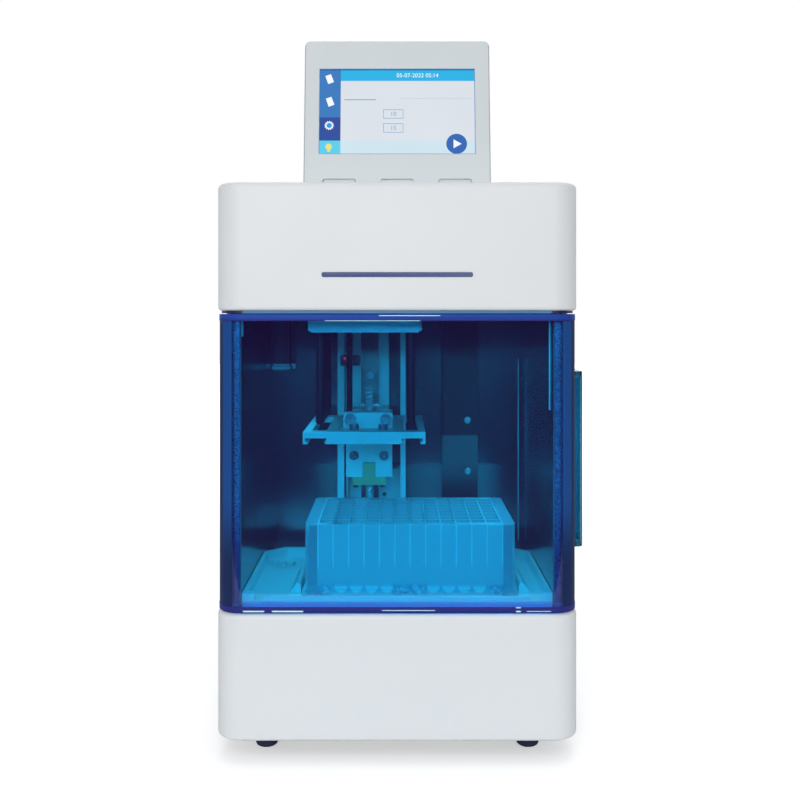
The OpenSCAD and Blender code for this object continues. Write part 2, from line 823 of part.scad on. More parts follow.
module display_back() {
    color("lightgray") on_display() difference() {
        display_body(display_t - face_out - 5, display_t - face_out);
        block(-48, display_t - face_out - 6, 12, 48, display_t - face_out - 2.5, 78);
        for (i = [-4:4]) translate([i * 6, 0, 60]) soft_panel(2, 20, 0.9, 0, display_t);
    }
}

module touch_screen() {
    mid = 17.2 + screen_h / 2;
    color("lightblue") on_display() {
        block(-screen_w / 2, -face_out + 0.4, mid - screen_h / 2, screen_w / 2, -face_out + 3, mid + screen_h / 2);
        block(-50, -face_out + 3, mid - 31, 50, display_t - face_out - 5, mid + 31);
    }
}

module column() {
    color("lightsteelblue") translate([head_x, 0, 0]) difference() {
        union() {
            block(-21.4, col_y, col_z0, 24.6, col_y + col_t, col_z1);
            block(-21.4, col_y - 25, col_z0 + 4, -16.9, col_y, roof_z + 44);
            block(-16.2, col_y - 12, deck_z + 7, -14.8, col_y, roof_z + 44);
            block(21.2, col_y - 25, col_z0 + 4, 24.6, col_y, roof_z + 44);
            // shelf over the lift motor
            block(-17, screw_y - 10, col_z0 + motor_h, 22, col_y, col_z0 + motor_h + 3);
        }
        translate([17.2, 0, (deck_z + 59 + roof_z - 6) / 2])
            soft_panel(8, zone_h - 65, 3, col_y - 1, col_y + col_t + 1);
        along_y(10, deck_z + 41, col_y - 1, col_y + col_t + 1, 1.5);
        post(0, screw_y, col_z0 + motor_h - 1, col_z0 + motor_h + 4, comb_screw_r + 0.35);
    }
}

// rail block on an upright rail, its underside at z
module rail_block(z) {
    color("gray") difference() {
        union() {
            block(head_x - block_w / 2, slider_y, z + 4.5, head_x + block_w / 2, slider_y + block_h, z + block_l - 4.5);
            block(head_x - block_w / 2 + 0.4, slider_y + 0.4, z, head_x + block_w / 2 - 0.4,
                slider_y + block_h - 0.3, z + block_l);
        }
        block(head_x - rail_w / 2 - rail_gap, col_y - rail_h - rail_gap, z - 1, head_x + rail_w / 2 + rail_gap,
            col_y, z + block_l + 1);
    }
}

module z_rail() {
    color("gray") difference() {
        block(head_x - rail_w / 2, col_y - rail_h, rail_z0, head_x + rail_w / 2, col_y, rail_z1);
        for (i = [-1:5]) along_y(head_x, deck_z + 74.9 + i * 25, col_y - rail_h - 1, col_y - rail_h + 4, 3);
    }
}

module comb_motor() {
    color("dimgray") difference() {
        block(head_x - motor_w / 2, screw_y - motor_w / 2, col_z0, head_x + motor_w / 2,
            screw_y + motor_w / 2 - 1, col_z0 + motor_h);
        post(head_x, screw_y, col_z0 + motor_h - 9, col_z0 + motor_h + 1, 2 + pin_gap);
    }
}

module comb_screw() {
    color("silver") {
        post(head_x, screw_y, col_z0 + motor_h - 8, col_z0 + motor_h + 0.5, 2);
        post(head_x, screw_y, col_z0 + motor_h + 0.5, screw_top, comb_screw_r);
    }
}

module home_sensor() {
    color("black") block(head_x - 18.9, col_y - 35, deck_z + 133.3, head_x - 6.1, col_y - 25, deck_z + 140.1);
}

module sensor_led() {
    color("red") along_y(head_x - 16, deck_z + 138, col_y - 35.5, col_y - 35, 0.6);
}

module x_carriage_block() {
    color("gray") difference() {
        union() {
            block(head_x - block_l / 2 + 4.5, col_y + col_t, x_rail_z - block_w / 2,
                head_x + block_l / 2 - 4.5, col_y + col_t + block_h, x_rail_z + block_w / 2);
            block(head_x - block_l / 2, col_y + col_t + 0.4, x_rail_z - block_w / 2 + 0.4,
                head_x + block_l / 2, col_y + col_t + block_h - 0.3, x_rail_z + block_w / 2 - 0.4);
        }
        block(head_x - block_l, beam_y - rail_h - rail_gap, x_rail_z - rail_w / 2 - rail_gap,
            head_x + block_l, beam_y, x_rail_z + rail_w / 2 + rail_gap);
    }
}

module x_nut() {
    color("olive") difference() {
        block(head_x - 8, col_y + col_t, x_screw_z - 8, head_x + 8, x_screw_y + 7, x_screw_z + 7);
        along_x(x_screw_y, x_screw_z, head_x - 9, head_x + 9, 2.5 + pin_gap);
    }
}

module comb_bracket() {
    hw = bracket_w / 2;
    color("deepskyblue") translate([head_x - 0.4, 0, 0]) difference() {
        union() {
            block(-21.8, bracket_y0, bracket_z0, 21.8, bracket_y1, bracket_z1);
            block(-hw, bracket_y0, bracket_z1 - wing_t, hw, bracket_y1, bracket_z1);
            for (s = [0, 1]) mirror([s, 0, 0]) {
                block(hw - 1.5, bracket_y0, bracket_z0, hw, bracket_y1, bracket_z1);
                block(hw - 2.8, bracket_y0, bracket_z0, hw, bracket_y1, bracket_z0 + 1.4);
                block(21.8, bracket_y0, bracket_z0, 22.8, bracket_y1, bracket_z0 + 1.4);
            }
        }
        // long openings that the magnet rods pass through
        for (s = [-1, 1]) translate([s * channel_x + 0.4, plate_y, bracket_z0 - 1])
            linear_extrude(bracket_t + 2) soft_rect(8.6, 72, 1);
        // recess between two ridges
        block(-16, bracket_y0 + 9, bracket_z1 - 1.6, 17, slider_front - 4, bracket_z1 + 1);
        // seat of the slider
        block(-slider_w / 2 + 0.4, slider_front, bracket_z0 - 1, slider_w / 2 + 0.4, bracket_y1 + 1, bracket_z1 + 1);
    }
}

module lift_block() {
    color("dodgerblue") difference() {
        union() {
            block(clamp_x - 15, clamp_y, bracket_z1 - 1.6, clamp_x + 15, clamp_y + 8.5, clamp_z);
            // socket of the lift screw
            block(lift_x - 4, lift_y - 4, bracket_z1 - 1.6, lift_x + 4, lift_y + 4, bracket_z1 + 3);
        }
        post(lift_x, lift_y, bracket_z1 - 1.1, clamp_z + 1, lift_r);
        for (s = [-1, 1]) along_y(clamp_x + s * 10.8, bracket_z1 + 4.1, clamp_y - 0.5, clamp_y + 5.5, 2);
    }
}

module comb_slider() {
    color("lightsteelblue") translate([head_x, 0, 0]) difference() {
        block(-slider_w / 2, slider_front, slider_z0, slider_w / 2, slider_y, slider_z1);
        block(-5.6, slider_front + 5, slider_z0 - 1, 5.6, slider_y + 1, slider_z1 + 1);
        block(-4.2, slider_front - 1, slider_z0 - 1, 4.2, slider_y, slider_z0 + 10);
        for (s = [-1, 1]) along_y(s * 10, slider_z0 + 14.6, slider_front - 1, slider_front + 4.6, 3.2);
    }
}

module comb_carriage_block() {
    rail_block(block_z);
}

module comb_nut() {
    color("darkseagreen") translate([head_x, 0, 0]) difference() {
        union() {
            block(-4.05, slider_front + 0.2, slider_z0 - 1, 4.05, slider_y - 1.2, slider_z0 + 9.7);
            block(-11.3, slider_front + 0.2, slider_z0 - 5.4, 11.3, slider_y - 1.2, slider_z0);
        }
        post(0, screw_y, slider_z0 - 6, slider_z0 + 10, comb_screw_r + pin_gap);
    }
}

module head_screws() {
    color("silver") {
        for (s = [-1, 1]) {
            cap_head(clamp_x + s * 10.8, bracket_z1 + 4.1, clamp_y - 4, 3.5, 4);
            along_y(clamp_x + s * 10.8, bracket_z1 + 4.1, clamp_y, clamp_y + 5.5, 2);
            translate([head_x + s * 10, 0, 0]) cap_head(0, slider_z0 + 14.6, slider_front + 1.2, 3, 3.4);
            // upright screws in the bracket's recess
            translate([clamp_x + 0.7 + s * 8.6, clamp_y - 12.5, bracket_z1 - 1.6]) difference() {
                cylinder(h = 4.2, r = 2.75);
                translate([0, 0, 2.2]) cylinder(h = 3, r = 1.4, $fn = 6);
            }
            post(head_x + s * 9, slider_front + 5.4, slider_z0 - 7.6, slider_z0 - 5.4, 1.9);
        }
    }
}

module magnet_lift_screw() {
    color("black") post(lift_x, lift_y, bracket_z1 - 1.1, holder_z1 + 38, lift_r);
}

module magnet_holder() {
    hw = holder_w / 2;
    color("deepskyblue") translate([head_x, 0, 0]) {
        difference() {
            union() {
                block(-hw, holder_y0, holder_z0, hw, holder_y0 + holder_d, holder_z1);
                for (s = [0, 1]) mirror([s, 0, 0])
                    block(hw, holder_y0 + 1, holder_z0 + 1, hw + 1.6, holder_y0 + holder_d - 1, holder_z1);
            }
            block(-20, holder_y0 + 10, holder_z0 - 1, 20, lift_y - 12, holder_z1 + 1);
            block(-20, lift_y + 12, holder_z0 - 1, 20, holder_y0 + holder_d - 10, holder_z1 + 1);
            block(-20, lift_y - 13, holder_z0 - 1, 20, lift_y + 13, holder_z1 - 3);
            post(lift_x - head_x, lift_y, holder_z0 - 1, holder_z1 + 1, lift_r + 0.6);
            for (s = [-1, 1]) for (i = [0:7])
                post(s * channel_x, plate_y + (i - 3.5) * well_pitch, holder_z0 - 1, holder_z0 + 6, rod_r);
        }
        // arm to the rail block
        block(4.5, holder_y0 + holder_d, holder_z0 + 3, 13.5, slider_y, holder_z1);
        difference() {
            block(-13.5, slider_y - 4, holder_z1, 13.5, slider_y, mag_block_z + block_l - 2);
            // groove that clears the comb screw
            block(-4, slider_y - 5, holder_z1 - 1, 4, slider_y - 1.9, mag_block_z + block_l - 1);
        }
    }
}

module magnet_rods() {
    color("dimgray") for (s = [-1, 1]) for (i = [0:7]) translate([head_x + s * channel_x, plate_y + (i - 3.5) * well_pitch, 0]) {
        post(0, 0, holder_z0 - rod_l + 1, holder_z0 + 6, rod_r);
        post(0, 0, holder_z0 - rod_l, holder_z0 - rod_l + 1, rod_r - 0.5);
    }
}

module magnet_carriage_block() {
    rail_block(mag_block_z);
}

module magnet_motor() {
    color("dimgray") difference() {
        block(lift_x - motor_w / 2, lift_y - motor_w / 2, holder_z1, lift_x + motor_w / 2,
            lift_y + motor_w / 2, holder_z1 + 28);
        post(lift_x, lift_y, holder_z1 - 1, holder_z1 + 29, lift_r + pin_gap);
    }
}

module deep_well_plate() {
    color("skyblue") translate([plate_x, plate_y, floor_z]) difference() {
        union() {
            slab(body_l, body_b, plate_h, 3, 0.5, 0);
            slab(plate_l, plate_w, skirt_h, 3.2, 0.8, 0);
        }
        for (i = [0:11]) for (j = [0:7]) {
            translate([(i - 5.5) * well_pitch - well_side / 2, (j - 3.5) * well_pitch - well_side / 2,
                plate_h - well_depth]) cube([well_side, well_side, well_depth + 1]);
        }
        translate([0, 0, -1]) slab(plate_l - 9, plate_w - 9, hollow_h + 1, 3, 0, 0);
    }
}

base_plate();
lower_casing();
rear_casing();
upper_casing();
status_light_bar();
rubber_feet();
casing_screws();
chamber_back_panel();
chamber_left_panel();
chamber_right_panel();
chamber_ceiling();
spill_tray();
heater_block();
plate_clips();
cable_duct();
duct_screws();
uv_lamp();
uv_lamp_holder();
interior_light_bar();
x_beam();
x_rail();
x_motor();
x_screw();
power_supply();
main_board();
fan_frame();
fan_guard();
fan_impeller();
power_inlet();
power_rocker();
usb_port();
display_hinge_base();
door_hinge_pins();
door_catch();
door_shell();
door_handle();
door_strike();
display_housing();
display_back();
touch_screen();
column();
x_carriage_block();
x_nut();
z_rail();
comb_motor();
comb_screw();
home_sensor();
sensor_led();
comb_bracket();
lift_block();
comb_slider();
comb_carriage_block();
comb_nut();
head_screws();
magnet_lift_screw();
magnet_holder();
magnet_rods();
magnet_carriage_block();
magnet_motor();
deep_well_plate();
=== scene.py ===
# %% [markdown]
# # A bench-top nucleic acid extractor
# The instrument is a tall white box. Behind a hinged sheet of clear blue plastic lies a steel
# chamber, where a magnet head and a comb head move over a plate with 96 deep wells. The solid
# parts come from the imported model. This file gives them their finish, and builds the pieces
# that plain solids can't show: the moulded wells of the plate, screw threads and the lit screen.

# %% Load the model
import json
import math

import bmesh
import bpy
from mathutils import Matrix, Vector


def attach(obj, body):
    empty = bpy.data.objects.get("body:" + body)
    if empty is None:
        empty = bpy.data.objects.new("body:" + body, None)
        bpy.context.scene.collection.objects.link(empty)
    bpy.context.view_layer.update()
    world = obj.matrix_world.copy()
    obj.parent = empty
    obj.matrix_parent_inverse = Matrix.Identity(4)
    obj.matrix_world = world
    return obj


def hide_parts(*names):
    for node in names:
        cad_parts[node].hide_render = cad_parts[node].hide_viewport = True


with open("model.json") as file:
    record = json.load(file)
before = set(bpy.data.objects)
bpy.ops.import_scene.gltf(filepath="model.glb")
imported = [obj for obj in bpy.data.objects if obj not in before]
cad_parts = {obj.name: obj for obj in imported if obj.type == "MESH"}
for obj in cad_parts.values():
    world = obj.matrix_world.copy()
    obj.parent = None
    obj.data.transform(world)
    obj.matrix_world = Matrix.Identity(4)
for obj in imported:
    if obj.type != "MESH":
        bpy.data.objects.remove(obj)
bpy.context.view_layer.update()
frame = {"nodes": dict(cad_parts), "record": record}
nodes = frame["nodes"]
slot_of = {row["node"]: row["material_slot"] for row in frame["record"]["subparts"]}
MM = 0.001

# %% [markdown]
# ## Camera
# A long lens at the height of the chamber's ceiling keeps the casing's sides upright. The lens
# shift moves the picture down without tilting the camera, as an architect's view camera does.

# %% Camera
LENS_MM, SENSOR_MM = 43.2, 36
EYE = (-0.0007, -0.676, 0.252)
camera_data = bpy.data.cameras.new("camera")
camera_data.lens = LENS_MM
camera_data.sensor_width = SENSOR_MM
camera_data.shift_x, camera_data.shift_y = 0.005, -0.11
camera = bpy.data.objects.new("camera", camera_data)
camera.location = EYE
camera.rotation_euler = (math.radians(90), 0, 0)
bpy.context.collection.objects.link(camera)
bpy.context.scene.camera = camera
print("camera at", tuple(camera.location))

# %% [markdown]
# ## Light
# Large soft boxes light a white instrument without hard shadows. A wide, low box in front shines
# into the chamber, a second one above it lights what faces up, and the others fill from the
# sides, the top and behind. The side boxes and the lower one behind don't show in glossy surfaces,
# and no box stands where the flat blue door would mirror it into the camera, so that the chamber
# stays clear to see. Two narrow lamps under the chamber's ceiling belong to the instrument: they
# shine down on the tray and the plate.


# %% Soft boxes
def soft_box(name, at, target, width, height, power, colour=(1, 1, 1)):
    """An area lamp at a point in metres, turned to face a target point."""
    lamp = bpy.data.lights.new(name, "AREA")
    lamp.shape = "RECTANGLE"
    lamp.size, lamp.size_y = width, height
    lamp.energy = power
    lamp.color = colour
    holder = bpy.data.objects.new(name, lamp)
    holder.location = at
    holder.rotation_euler = (Vector(target) - Vector(at)).to_track_quat("-Z", "Y").to_euler()
    bpy.context.collection.objects.link(holder)
    return holder


MIDDLE = (0, 0, 0.2)
for name, at, width, height, power, in_gloss in (
        ("front_box", (-0.12, -1.55, 0.52), 1.0, 0.2, 10.5, True),
        ("key_box", (-0.2, -1.25, 1.25), 1.2, 0.6, 3.5, True),
        ("left_box", (-1.7, -0.9, 0.6), 0.9, 1.2, 4, False),
        ("right_box", (1.7, -0.9, 0.6), 0.9, 1.2, 4, False),
        ("top_box", (0, 0.2, 1.9), 1.4, 1.4, 6, True),
        ("back_box", (0.3, 1.8, 1.0), 1.4, 1.0, 5, True),
        ("back_fill", (0.25, 1.6, 0.62), 1.2, 0.8, 4, False)):
    soft_box(name, at, MIDDLE, width, height, power).visible_glossy = in_gloss
for side, name in ((-1, "tray_lamp_left"), (1, "tray_lamp_right")):
    tray_lamp = soft_box(name, (side * 0.076, -0.088, 0.2465), (side * 0.060, -0.088, 0.09),
                         0.08, 0.012, 0.03, (0.35, 0.85, 1.0))
    tray_lamp.data.spread = math.radians(85)
bpy.context.scene.view_settings.view_transform = "Standard"

# %% [markdown]
# ## Wiring nodes
# The room, the floor and every finish are wired from the same few nodes. Short functions place
# them, so that a material reads like a sum: this mask, times that one, blends these two colours.


# %% Node helpers
def wire(tree, start, end):
    """Joins an output socket to an input socket."""
    tree.links.new(start, end)


def group(name, ins, outs):
    """A new shader node group with its sockets; gives the tree and its two end nodes."""
    tree = bpy.data.node_groups.new(name, "ShaderNodeTree")
    for label, kind, value in ins:
        tree.interface.new_socket(label, in_out="INPUT", socket_type=kind).default_value = value
    for label, kind in outs:
        tree.interface.new_socket(label, in_out="OUTPUT", socket_type=kind)
    return tree, tree.nodes.new("NodeGroupInput"), tree.nodes.new("NodeGroupOutput")


def maths(tree, operation, a, b=None, clamp=False):
    """A Math node; a and b are sockets or plain numbers."""
    node = tree.nodes.new("ShaderNodeMath")
    node.operation = operation
    node.use_clamp = clamp
    for i, value in enumerate((a, b)):
        if isinstance(value, (int, float)):
            node.inputs[i].default_value = value
        elif value is not None:
            wire(tree, value, node.inputs[i])
    return node.outputs[0]


def times(tree, first, *others):
    """The product of masks and numbers."""
    for other in others:
        first = maths(tree, "MULTIPLY", first, other)
    return first


def vector_maths(tree, operation, first, second=None):
    """A Vector Math node with one or two sockets wired in."""
    node = tree.nodes.new("ShaderNodeVectorMath")
    node.operation = operation
    wire(tree, first, node.inputs[0])
    if second:
        wire(tree, second, node.inputs[1])
    return node


def grey(tree, value):
    """A grey colour from one value."""
    node = tree.nodes.new("ShaderNodeCombineColor")
    for channel in range(3):
        wire(tree, value, node.inputs[channel])
    return node.outputs[0]


def blend_colour(tree, mask, first, second, kind="MIX"):
    """Mixes two colours by a mask; each may be a socket or a plain colour."""
    node = tree.nodes.new("ShaderNodeMix")
    node.data_type = "RGBA"
    node.blend_type = kind
    for socket, value in ((node.inputs[0], mask), (node.inputs[6], first), (node.inputs[7], second)):
        if isinstance(value, (int, float)):
            socket.default_value = value
        elif isinstance(value, tuple):
            socket.default_value = (*value, 1)
        else:
            wire(tree, value, socket)
    return node.outputs[2]


def noise(tree, coord, scale, detail=2.0):
    """A noise pattern; scale may be a socket or a number."""
    node = tree.nodes.new("ShaderNodeTexNoise")
    node.inputs["Detail"].default_value = detail
    wire(tree, coord, node.inputs["Vector"])
    if isinstance(scale, (int, float)):
        node.inputs["Scale"].default_value = scale
    else:
        wire(tree, scale, node.inputs["Scale"])
    return node.outputs["Fac"]


def place(tree):
    """Object coordinates in metres; a solid's object sits at the origin of the frame."""
    return tree.nodes.new("ShaderNodeTexCoord").outputs["Object"]


def part_of(tree, vector, letter):
    """One of the three numbers of a vector."""
    split = tree.nodes.new("ShaderNodeSeparateXYZ")
    wire(tree, vector, split.inputs[0])
    return split.outputs[letter]


def axis(tree, letter):
    """One object coordinate in metres."""
    return part_of(tree, place(tree), letter)


def beside(tree):
    """The distance from the instrument's middle plane to either side."""
    return maths(tree, "ABSOLUTE", axis(tree, "X"))


def rise(tree, value, start, end, low=0.0, high=1.0, shape="SMOOTHSTEP"):
    """From low at start to high at end, and level outside; start may be the larger number."""
    node = tree.nodes.new("ShaderNodeMapRange")
    node.interpolation_type = shape
    for label, number in (("From Min", start), ("From Max", end), ("To Min", low), ("To Max", high)):
        node.inputs[label].default_value = number
    wire(tree, value, node.inputs["Value"])
    return node.outputs["Result"]


def between(tree, value, low, high, soft):
    """1 from low to high and 0 outside, over a soft margin."""
    return times(tree, rise(tree, value, low - soft, low + soft), rise(tree, value, high + soft, high - soft))


# %% [markdown]
# ## Floor and surroundings
# The room is white where it is seen directly, in metal or through glass. As a light it is only
# a dim grey, so that it softens the shadows and doesn't wash the colours out. In front of the
# instrument the room is dark, as behind a photographer, because a bright room there would lie
# on the door as a veil.

# %% Surroundings
ROOM_LIGHT = 0.28
world = bpy.data.worlds.new("studio")
bpy.context.scene.world = world
world.use_nodes = True
tree = world.node_tree
tree.nodes.clear()
ray = tree.nodes.new("ShaderNodeLightPath").outputs
dim, white = (tree.nodes.new("ShaderNodeBackground") for _ in range(2))
dim.inputs["Color"].default_value = (0.9, 0.95, 1, 1)
dim.inputs["Strength"].default_value = ROOM_LIGHT
white.inputs["Color"].default_value = (1, 1, 1, 1)
depth = part_of(tree, tree.nodes.new("ShaderNodeTexCoord").outputs["Generated"], "Y")
behind = rise(tree, depth, -0.2, 0.6, 0.05, 1.0, "LINEAR")
wire(tree, maths(tree, "MAXIMUM", ray["Is Camera Ray"], behind), white.inputs["Strength"])
seen = maths(tree, "MAXIMUM", ray["Is Camera Ray"], ray["Is Glossy Ray"])
choose = tree.nodes.new("ShaderNodeMixShader")
wire(tree, maths(tree, "MAXIMUM", seen, ray["Is Transmission Ray"]), choose.inputs["Fac"])
wire(tree, dim.outputs[0], choose.inputs[1])
wire(tree, white.outputs[0], choose.inputs[2])
wire(tree, choose.outputs[0], tree.nodes.new("ShaderNodeOutputWorld").inputs["Surface"])
print("world nodes:", len(tree.nodes))

# %% [markdown]
# ## The floor
# The floor is white paper that rolls away without an end. Close to the instrument it is lit by the
# lamps and keeps the soft shadow. Further off, where the lamps no longer reach, it shines a little
# by itself for the camera, so that no horizon shows.

# %% Floor
FLOOR_SIDE, FLOOR_FRONT, FLOOR_BACK = 3, -0.46, 4
floor_mesh = bpy.data.meshes.new("floor")
corners = [(-FLOOR_SIDE, FLOOR_FRONT, 0), (FLOOR_SIDE, FLOOR_FRONT, 0),
           (FLOOR_SIDE, FLOOR_BACK, 0), (-FLOOR_SIDE, FLOOR_BACK, 0)]
floor_mesh.from_pydata(corners, [], [(0, 1, 2, 3)])
floor = bpy.data.objects.new("floor", floor_mesh)
bpy.context.collection.objects.link(floor)
floor_paint = bpy.data.materials.new("floor_paint")
floor_paint.use_nodes = True
tree = floor_paint.node_tree
bsdf = tree.nodes["Principled BSDF"]
for label, value in (("Base Color", (0.93, 0.93, 0.93, 1)), ("Roughness", 0.6), ("Specular IOR Level", 0.2),
                     ("Emission Color", (1, 1, 1, 1))):
    bsdf.inputs[label].default_value = value
ray = tree.nodes.new("ShaderNodeLightPath").outputs
seen = maths(tree, "MAXIMUM", ray["Is Camera Ray"], ray["Is Transmission Ray"])
distance = vector_maths(tree, "LENGTH", place(tree)).outputs["Value"]
shine = rise(tree, distance, 0.35, 1.1, 0.4, 1.0, "LINEAR")
wire(tree, times(tree, seen, shine), bsdf.inputs["Emission Strength"])
floor_mesh.materials.append(floor_paint)
print("floor ends 0.32 m in front of the casing")

# %% [markdown]
# ## Shared surface effects
# Fine grain, brushed lines and edges with painted light and shade are needed by several finishes.
# Each is built once as a node group with named sockets, and placed in every material with its own values.
# The patterns use object coordinates in metres, so that a grain of 0.4 mm stays 0.4 mm.


# %% Outputs of a texture group
TEXTURE_OUTPUTS = [("Colour", "NodeSocketColor"), ("Roughness", "NodeSocketFloat"),
                   ("Normal", "NodeSocketVector")]


def texture_outputs(tree, ins, outs, dark, swing, height, distance):
    """Wires a darkened colour, a swinging roughness and a bumped normal to a group's outputs."""
    shade = grey(tree, maths(tree, "SUBTRACT", 1.0, dark))
    wire(tree, blend_colour(tree, 1.0, ins["Colour"], shade, "MULTIPLY"), outs[0])
    wire(tree, maths(tree, "ADD", ins["Roughness"], swing, clamp=True), outs[1])
    bump = tree.nodes.new("ShaderNodeBump")
    bump.inputs["Distance"].default_value = distance
    wire(tree, ins["Relief"], bump.inputs["Strength"])
    wire(tree, height, bump.inputs["Height"])
    wire(tree, bump.outputs[0], outs[2])


# %% [markdown]
# ### Fine grain
# Moulded and painted surfaces are never quite even: they have a grain finer than a millimetre, and
# broad patches that are a little duller. An image could show both, but it repeats and needs a
# mapping. Two noises in metres need neither: the fine one bumps the normal, and the broad one
# shades the colour and the roughness.

# %% Fine grain
grain, start, end = group(
    "fine_grain",
    [
        ("Colour", "NodeSocketColor", (0.8, 0.8, 0.8, 1)),
        ("Grains per metre", "NodeSocketFloat", 1500.0),
        ("Relief", "NodeSocketFloat", 0.1),
        ("Patchiness", "NodeSocketFloat", 0.05),
        ("Roughness", "NodeSocketFloat", 0.5),
        ("Roughness spread", "NodeSocketFloat", 0.1),
    ],
    TEXTURE_OUTPUTS,
)
ins = start.outputs
patches = noise(grain, place(grain), 22.0, 4.0)
texture_outputs(grain, ins, end.inputs, dark=times(grain, patches, ins["Patchiness"]),
                swing=times(grain, maths(grain, "SUBTRACT", patches, 0.5), ins["Roughness spread"]),
                height=noise(grain, place(grain), ins["Grains per metre"], 3.0), distance=0.0001)
print("group", grain.name, "nodes:", len(grain.nodes))

# %% [markdown]
# ### Brushed lines
# Rolled and ground metal has long fine lines in one direction. A noise gives them when its space
# is stretched far more along one axis than along the others.

# %% Brushed lines
brushed, start, end = group(
    "brushed_lines",
    [
        ("Colour", "NodeSocketColor", (0.6, 0.6, 0.6, 1)),
        ("Stretch", "NodeSocketVector", (60.0, 60.0, 3000.0)),
        ("Relief", "NodeSocketFloat", 0.1),
        ("Contrast", "NodeSocketFloat", 0.15),
        ("Roughness", "NodeSocketFloat", 0.35),
    ],
    TEXTURE_OUTPUTS,
)
ins = start.outputs
stretched = vector_maths(brushed, "MULTIPLY", place(brushed), ins["Stretch"])
lines = noise(brushed, stretched.outputs[0], 1.0, 3.0)
texture_outputs(brushed, ins, end.inputs, dark=times(brushed, lines, ins["Contrast"]),
                swing=times(brushed, maths(brushed, "SUBTRACT", lines, 0.5), 0.12),
                height=lines, distance=0.00005)
print("group", brushed.name, "nodes:", len(brushed.nodes))

# %% [markdown]
# ### Painted light and shade on edges
# A real edge catches the light and its flanks turn into shade, and finishes paint both along their
# edges: a pale colour as a painted highlight, a darker one as painted shade. A Bevel node gives the
# normal that a rounded edge would have. Where it differs from the flat normal, an edge is near, with
# no mask to paint.

# %% Painted light and shade on edges
edges, start, end = group(
    "edge_highlight_and_shade",
    [("Width", "NodeSocketFloat", 0.001), ("Amount", "NodeSocketFloat", 0.5)],
    [("Mask", "NodeSocketFloat")],
)
rounded = edges.nodes.new("ShaderNodeBevel")
rounded.samples = 4
wire(edges, start.outputs["Width"], rounded.inputs["Radius"])
flat_normal = edges.nodes.new("ShaderNodeNewGeometry").outputs["Normal"]
alike = vector_maths(edges, "DOT_PRODUCT", rounded.outputs[0], flat_normal).outputs["Value"]
bent = maths(edges, "MULTIPLY", maths(edges, "SUBTRACT", 1.0, alike), 6.0, clamp=True)
wire(edges, times(edges, bent, start.outputs["Amount"]), end.inputs[0])
print("group", edges.name, "nodes:", len(edges.nodes))

# %% [markdown]
# ## Finishes
# Every material slot of the model gets one finish. Each is a Principled shader with its plain
# numbers set on its own sockets, and the groups feed what changes over the surface: colour,
# roughness and normal.


# %% Finish helpers
finishes = {}


def principled(name, colour, roughness=0.5, metallic=0.0, **plain):
    """A new material's tree and shader; plain sets other sockets, with _ for a space in the name."""
    material = bpy.data.materials.new(name)
    material.use_nodes = True
    tree = material.node_tree
    bsdf = tree.nodes["Principled BSDF"]
    bsdf.inputs["Base Color"].default_value = (*colour, 1)
    bsdf.inputs["Roughness"].default_value = roughness
    bsdf.inputs["Metallic"].default_value = metallic
    for label, value in plain.items():
        bsdf.inputs[label.replace("_", " ")].default_value = value
    finishes[name] = material
    return tree, bsdf


def place_group(tree, what, **values):
    """Places a node group in a material, with its input values."""
    node = tree.nodes.new("ShaderNodeGroup")
    node.node_tree = what
    for label, value in values.items():
        node.inputs[label.replace("_", " ")].default_value = value
    return node.outputs


def wire_surface(tree, outputs, bsdf, shade=None):
    """Wires a texture group's colour, roughness and normal to the shader."""
    wire(tree, shade or outputs["Colour"], bsdf.inputs["Base Color"])
    wire(tree, outputs["Roughness"], bsdf.inputs["Roughness"])
    wire(tree, outputs["Normal"], bsdf.inputs["Normal"])


def grained(name, colour, roughness, metallic=0.0, grains=1500.0, relief=0.15, patchiness=0.04,
            edge=None, edge_colour=None, **plain):
    """A finish with fine grain, and optionally painted light and shade in another colour along its edges."""
    tree, bsdf = principled(name, colour, roughness, metallic, **plain)
    outputs = place_group(tree, grain, Colour=(*colour, 1), Grains_per_metre=grains, Relief=relief,
                          Patchiness=patchiness, Roughness=roughness, Roughness_spread=0.1)
    shade = outputs["Colour"]
    if edge:
        # a lighter edge colour is a painted highlight, a darker one is painted shade
        rim = place_group(tree, edges, Width=edge[0], Amount=edge[1])
        shade = blend_colour(tree, rim["Mask"], shade, edge_colour)
    wire_surface(tree, outputs, bsdf, shade)
    return tree, bsdf


def brushed_metal(name, colour, roughness, stretch, relief=0.15, contrast=0.2):
    """A metal finish with long fine lines."""
    tree, bsdf = principled(name, colour, roughness, 1.0)
    wire_surface(tree, place_group(tree, brushed, Colour=(*colour, 1), Stretch=stretch, Relief=relief,
                                   Contrast=contrast, Roughness=roughness), bsdf)
    return tree, bsdf


def paint_of(bsdf):
    """The socket that colours a finish so far."""
    return bsdf.inputs["Base Color"].links[0].from_socket


def overpaint(tree, bsdf, mask, colour):
    """Covers a finish's colour with another one where the mask is 1."""
    wire(tree, blend_colour(tree, mask, paint_of(bsdf), colour), bsdf.inputs["Base Color"])


# %% [markdown]
# ### Casing, display and feet
# The casing is moulded in satin white, and a faint green-grey along its edges is painted shade. The
# display's frame is a cooler grey, with painted shade along its edges and on its darker flanks, and
# the feet are navy rubber. Inside the door stand the casing's two front posts, which have a coarse
# speckled grey coat. They are part of the rear casing's solid, so a mask by depth paints them.

# %% Casing, display and feet
# the green-grey along the casing's edges is painted shade
CASING = dict(colour=(0.715, 0.735, 0.750), roughness=0.48, grains=1800, relief=0.10, patchiness=0.02,
              edge=(0.0025, 0.55), edge_colour=(0.56, 0.62, 0.60))
grained("casing_white", **CASING)
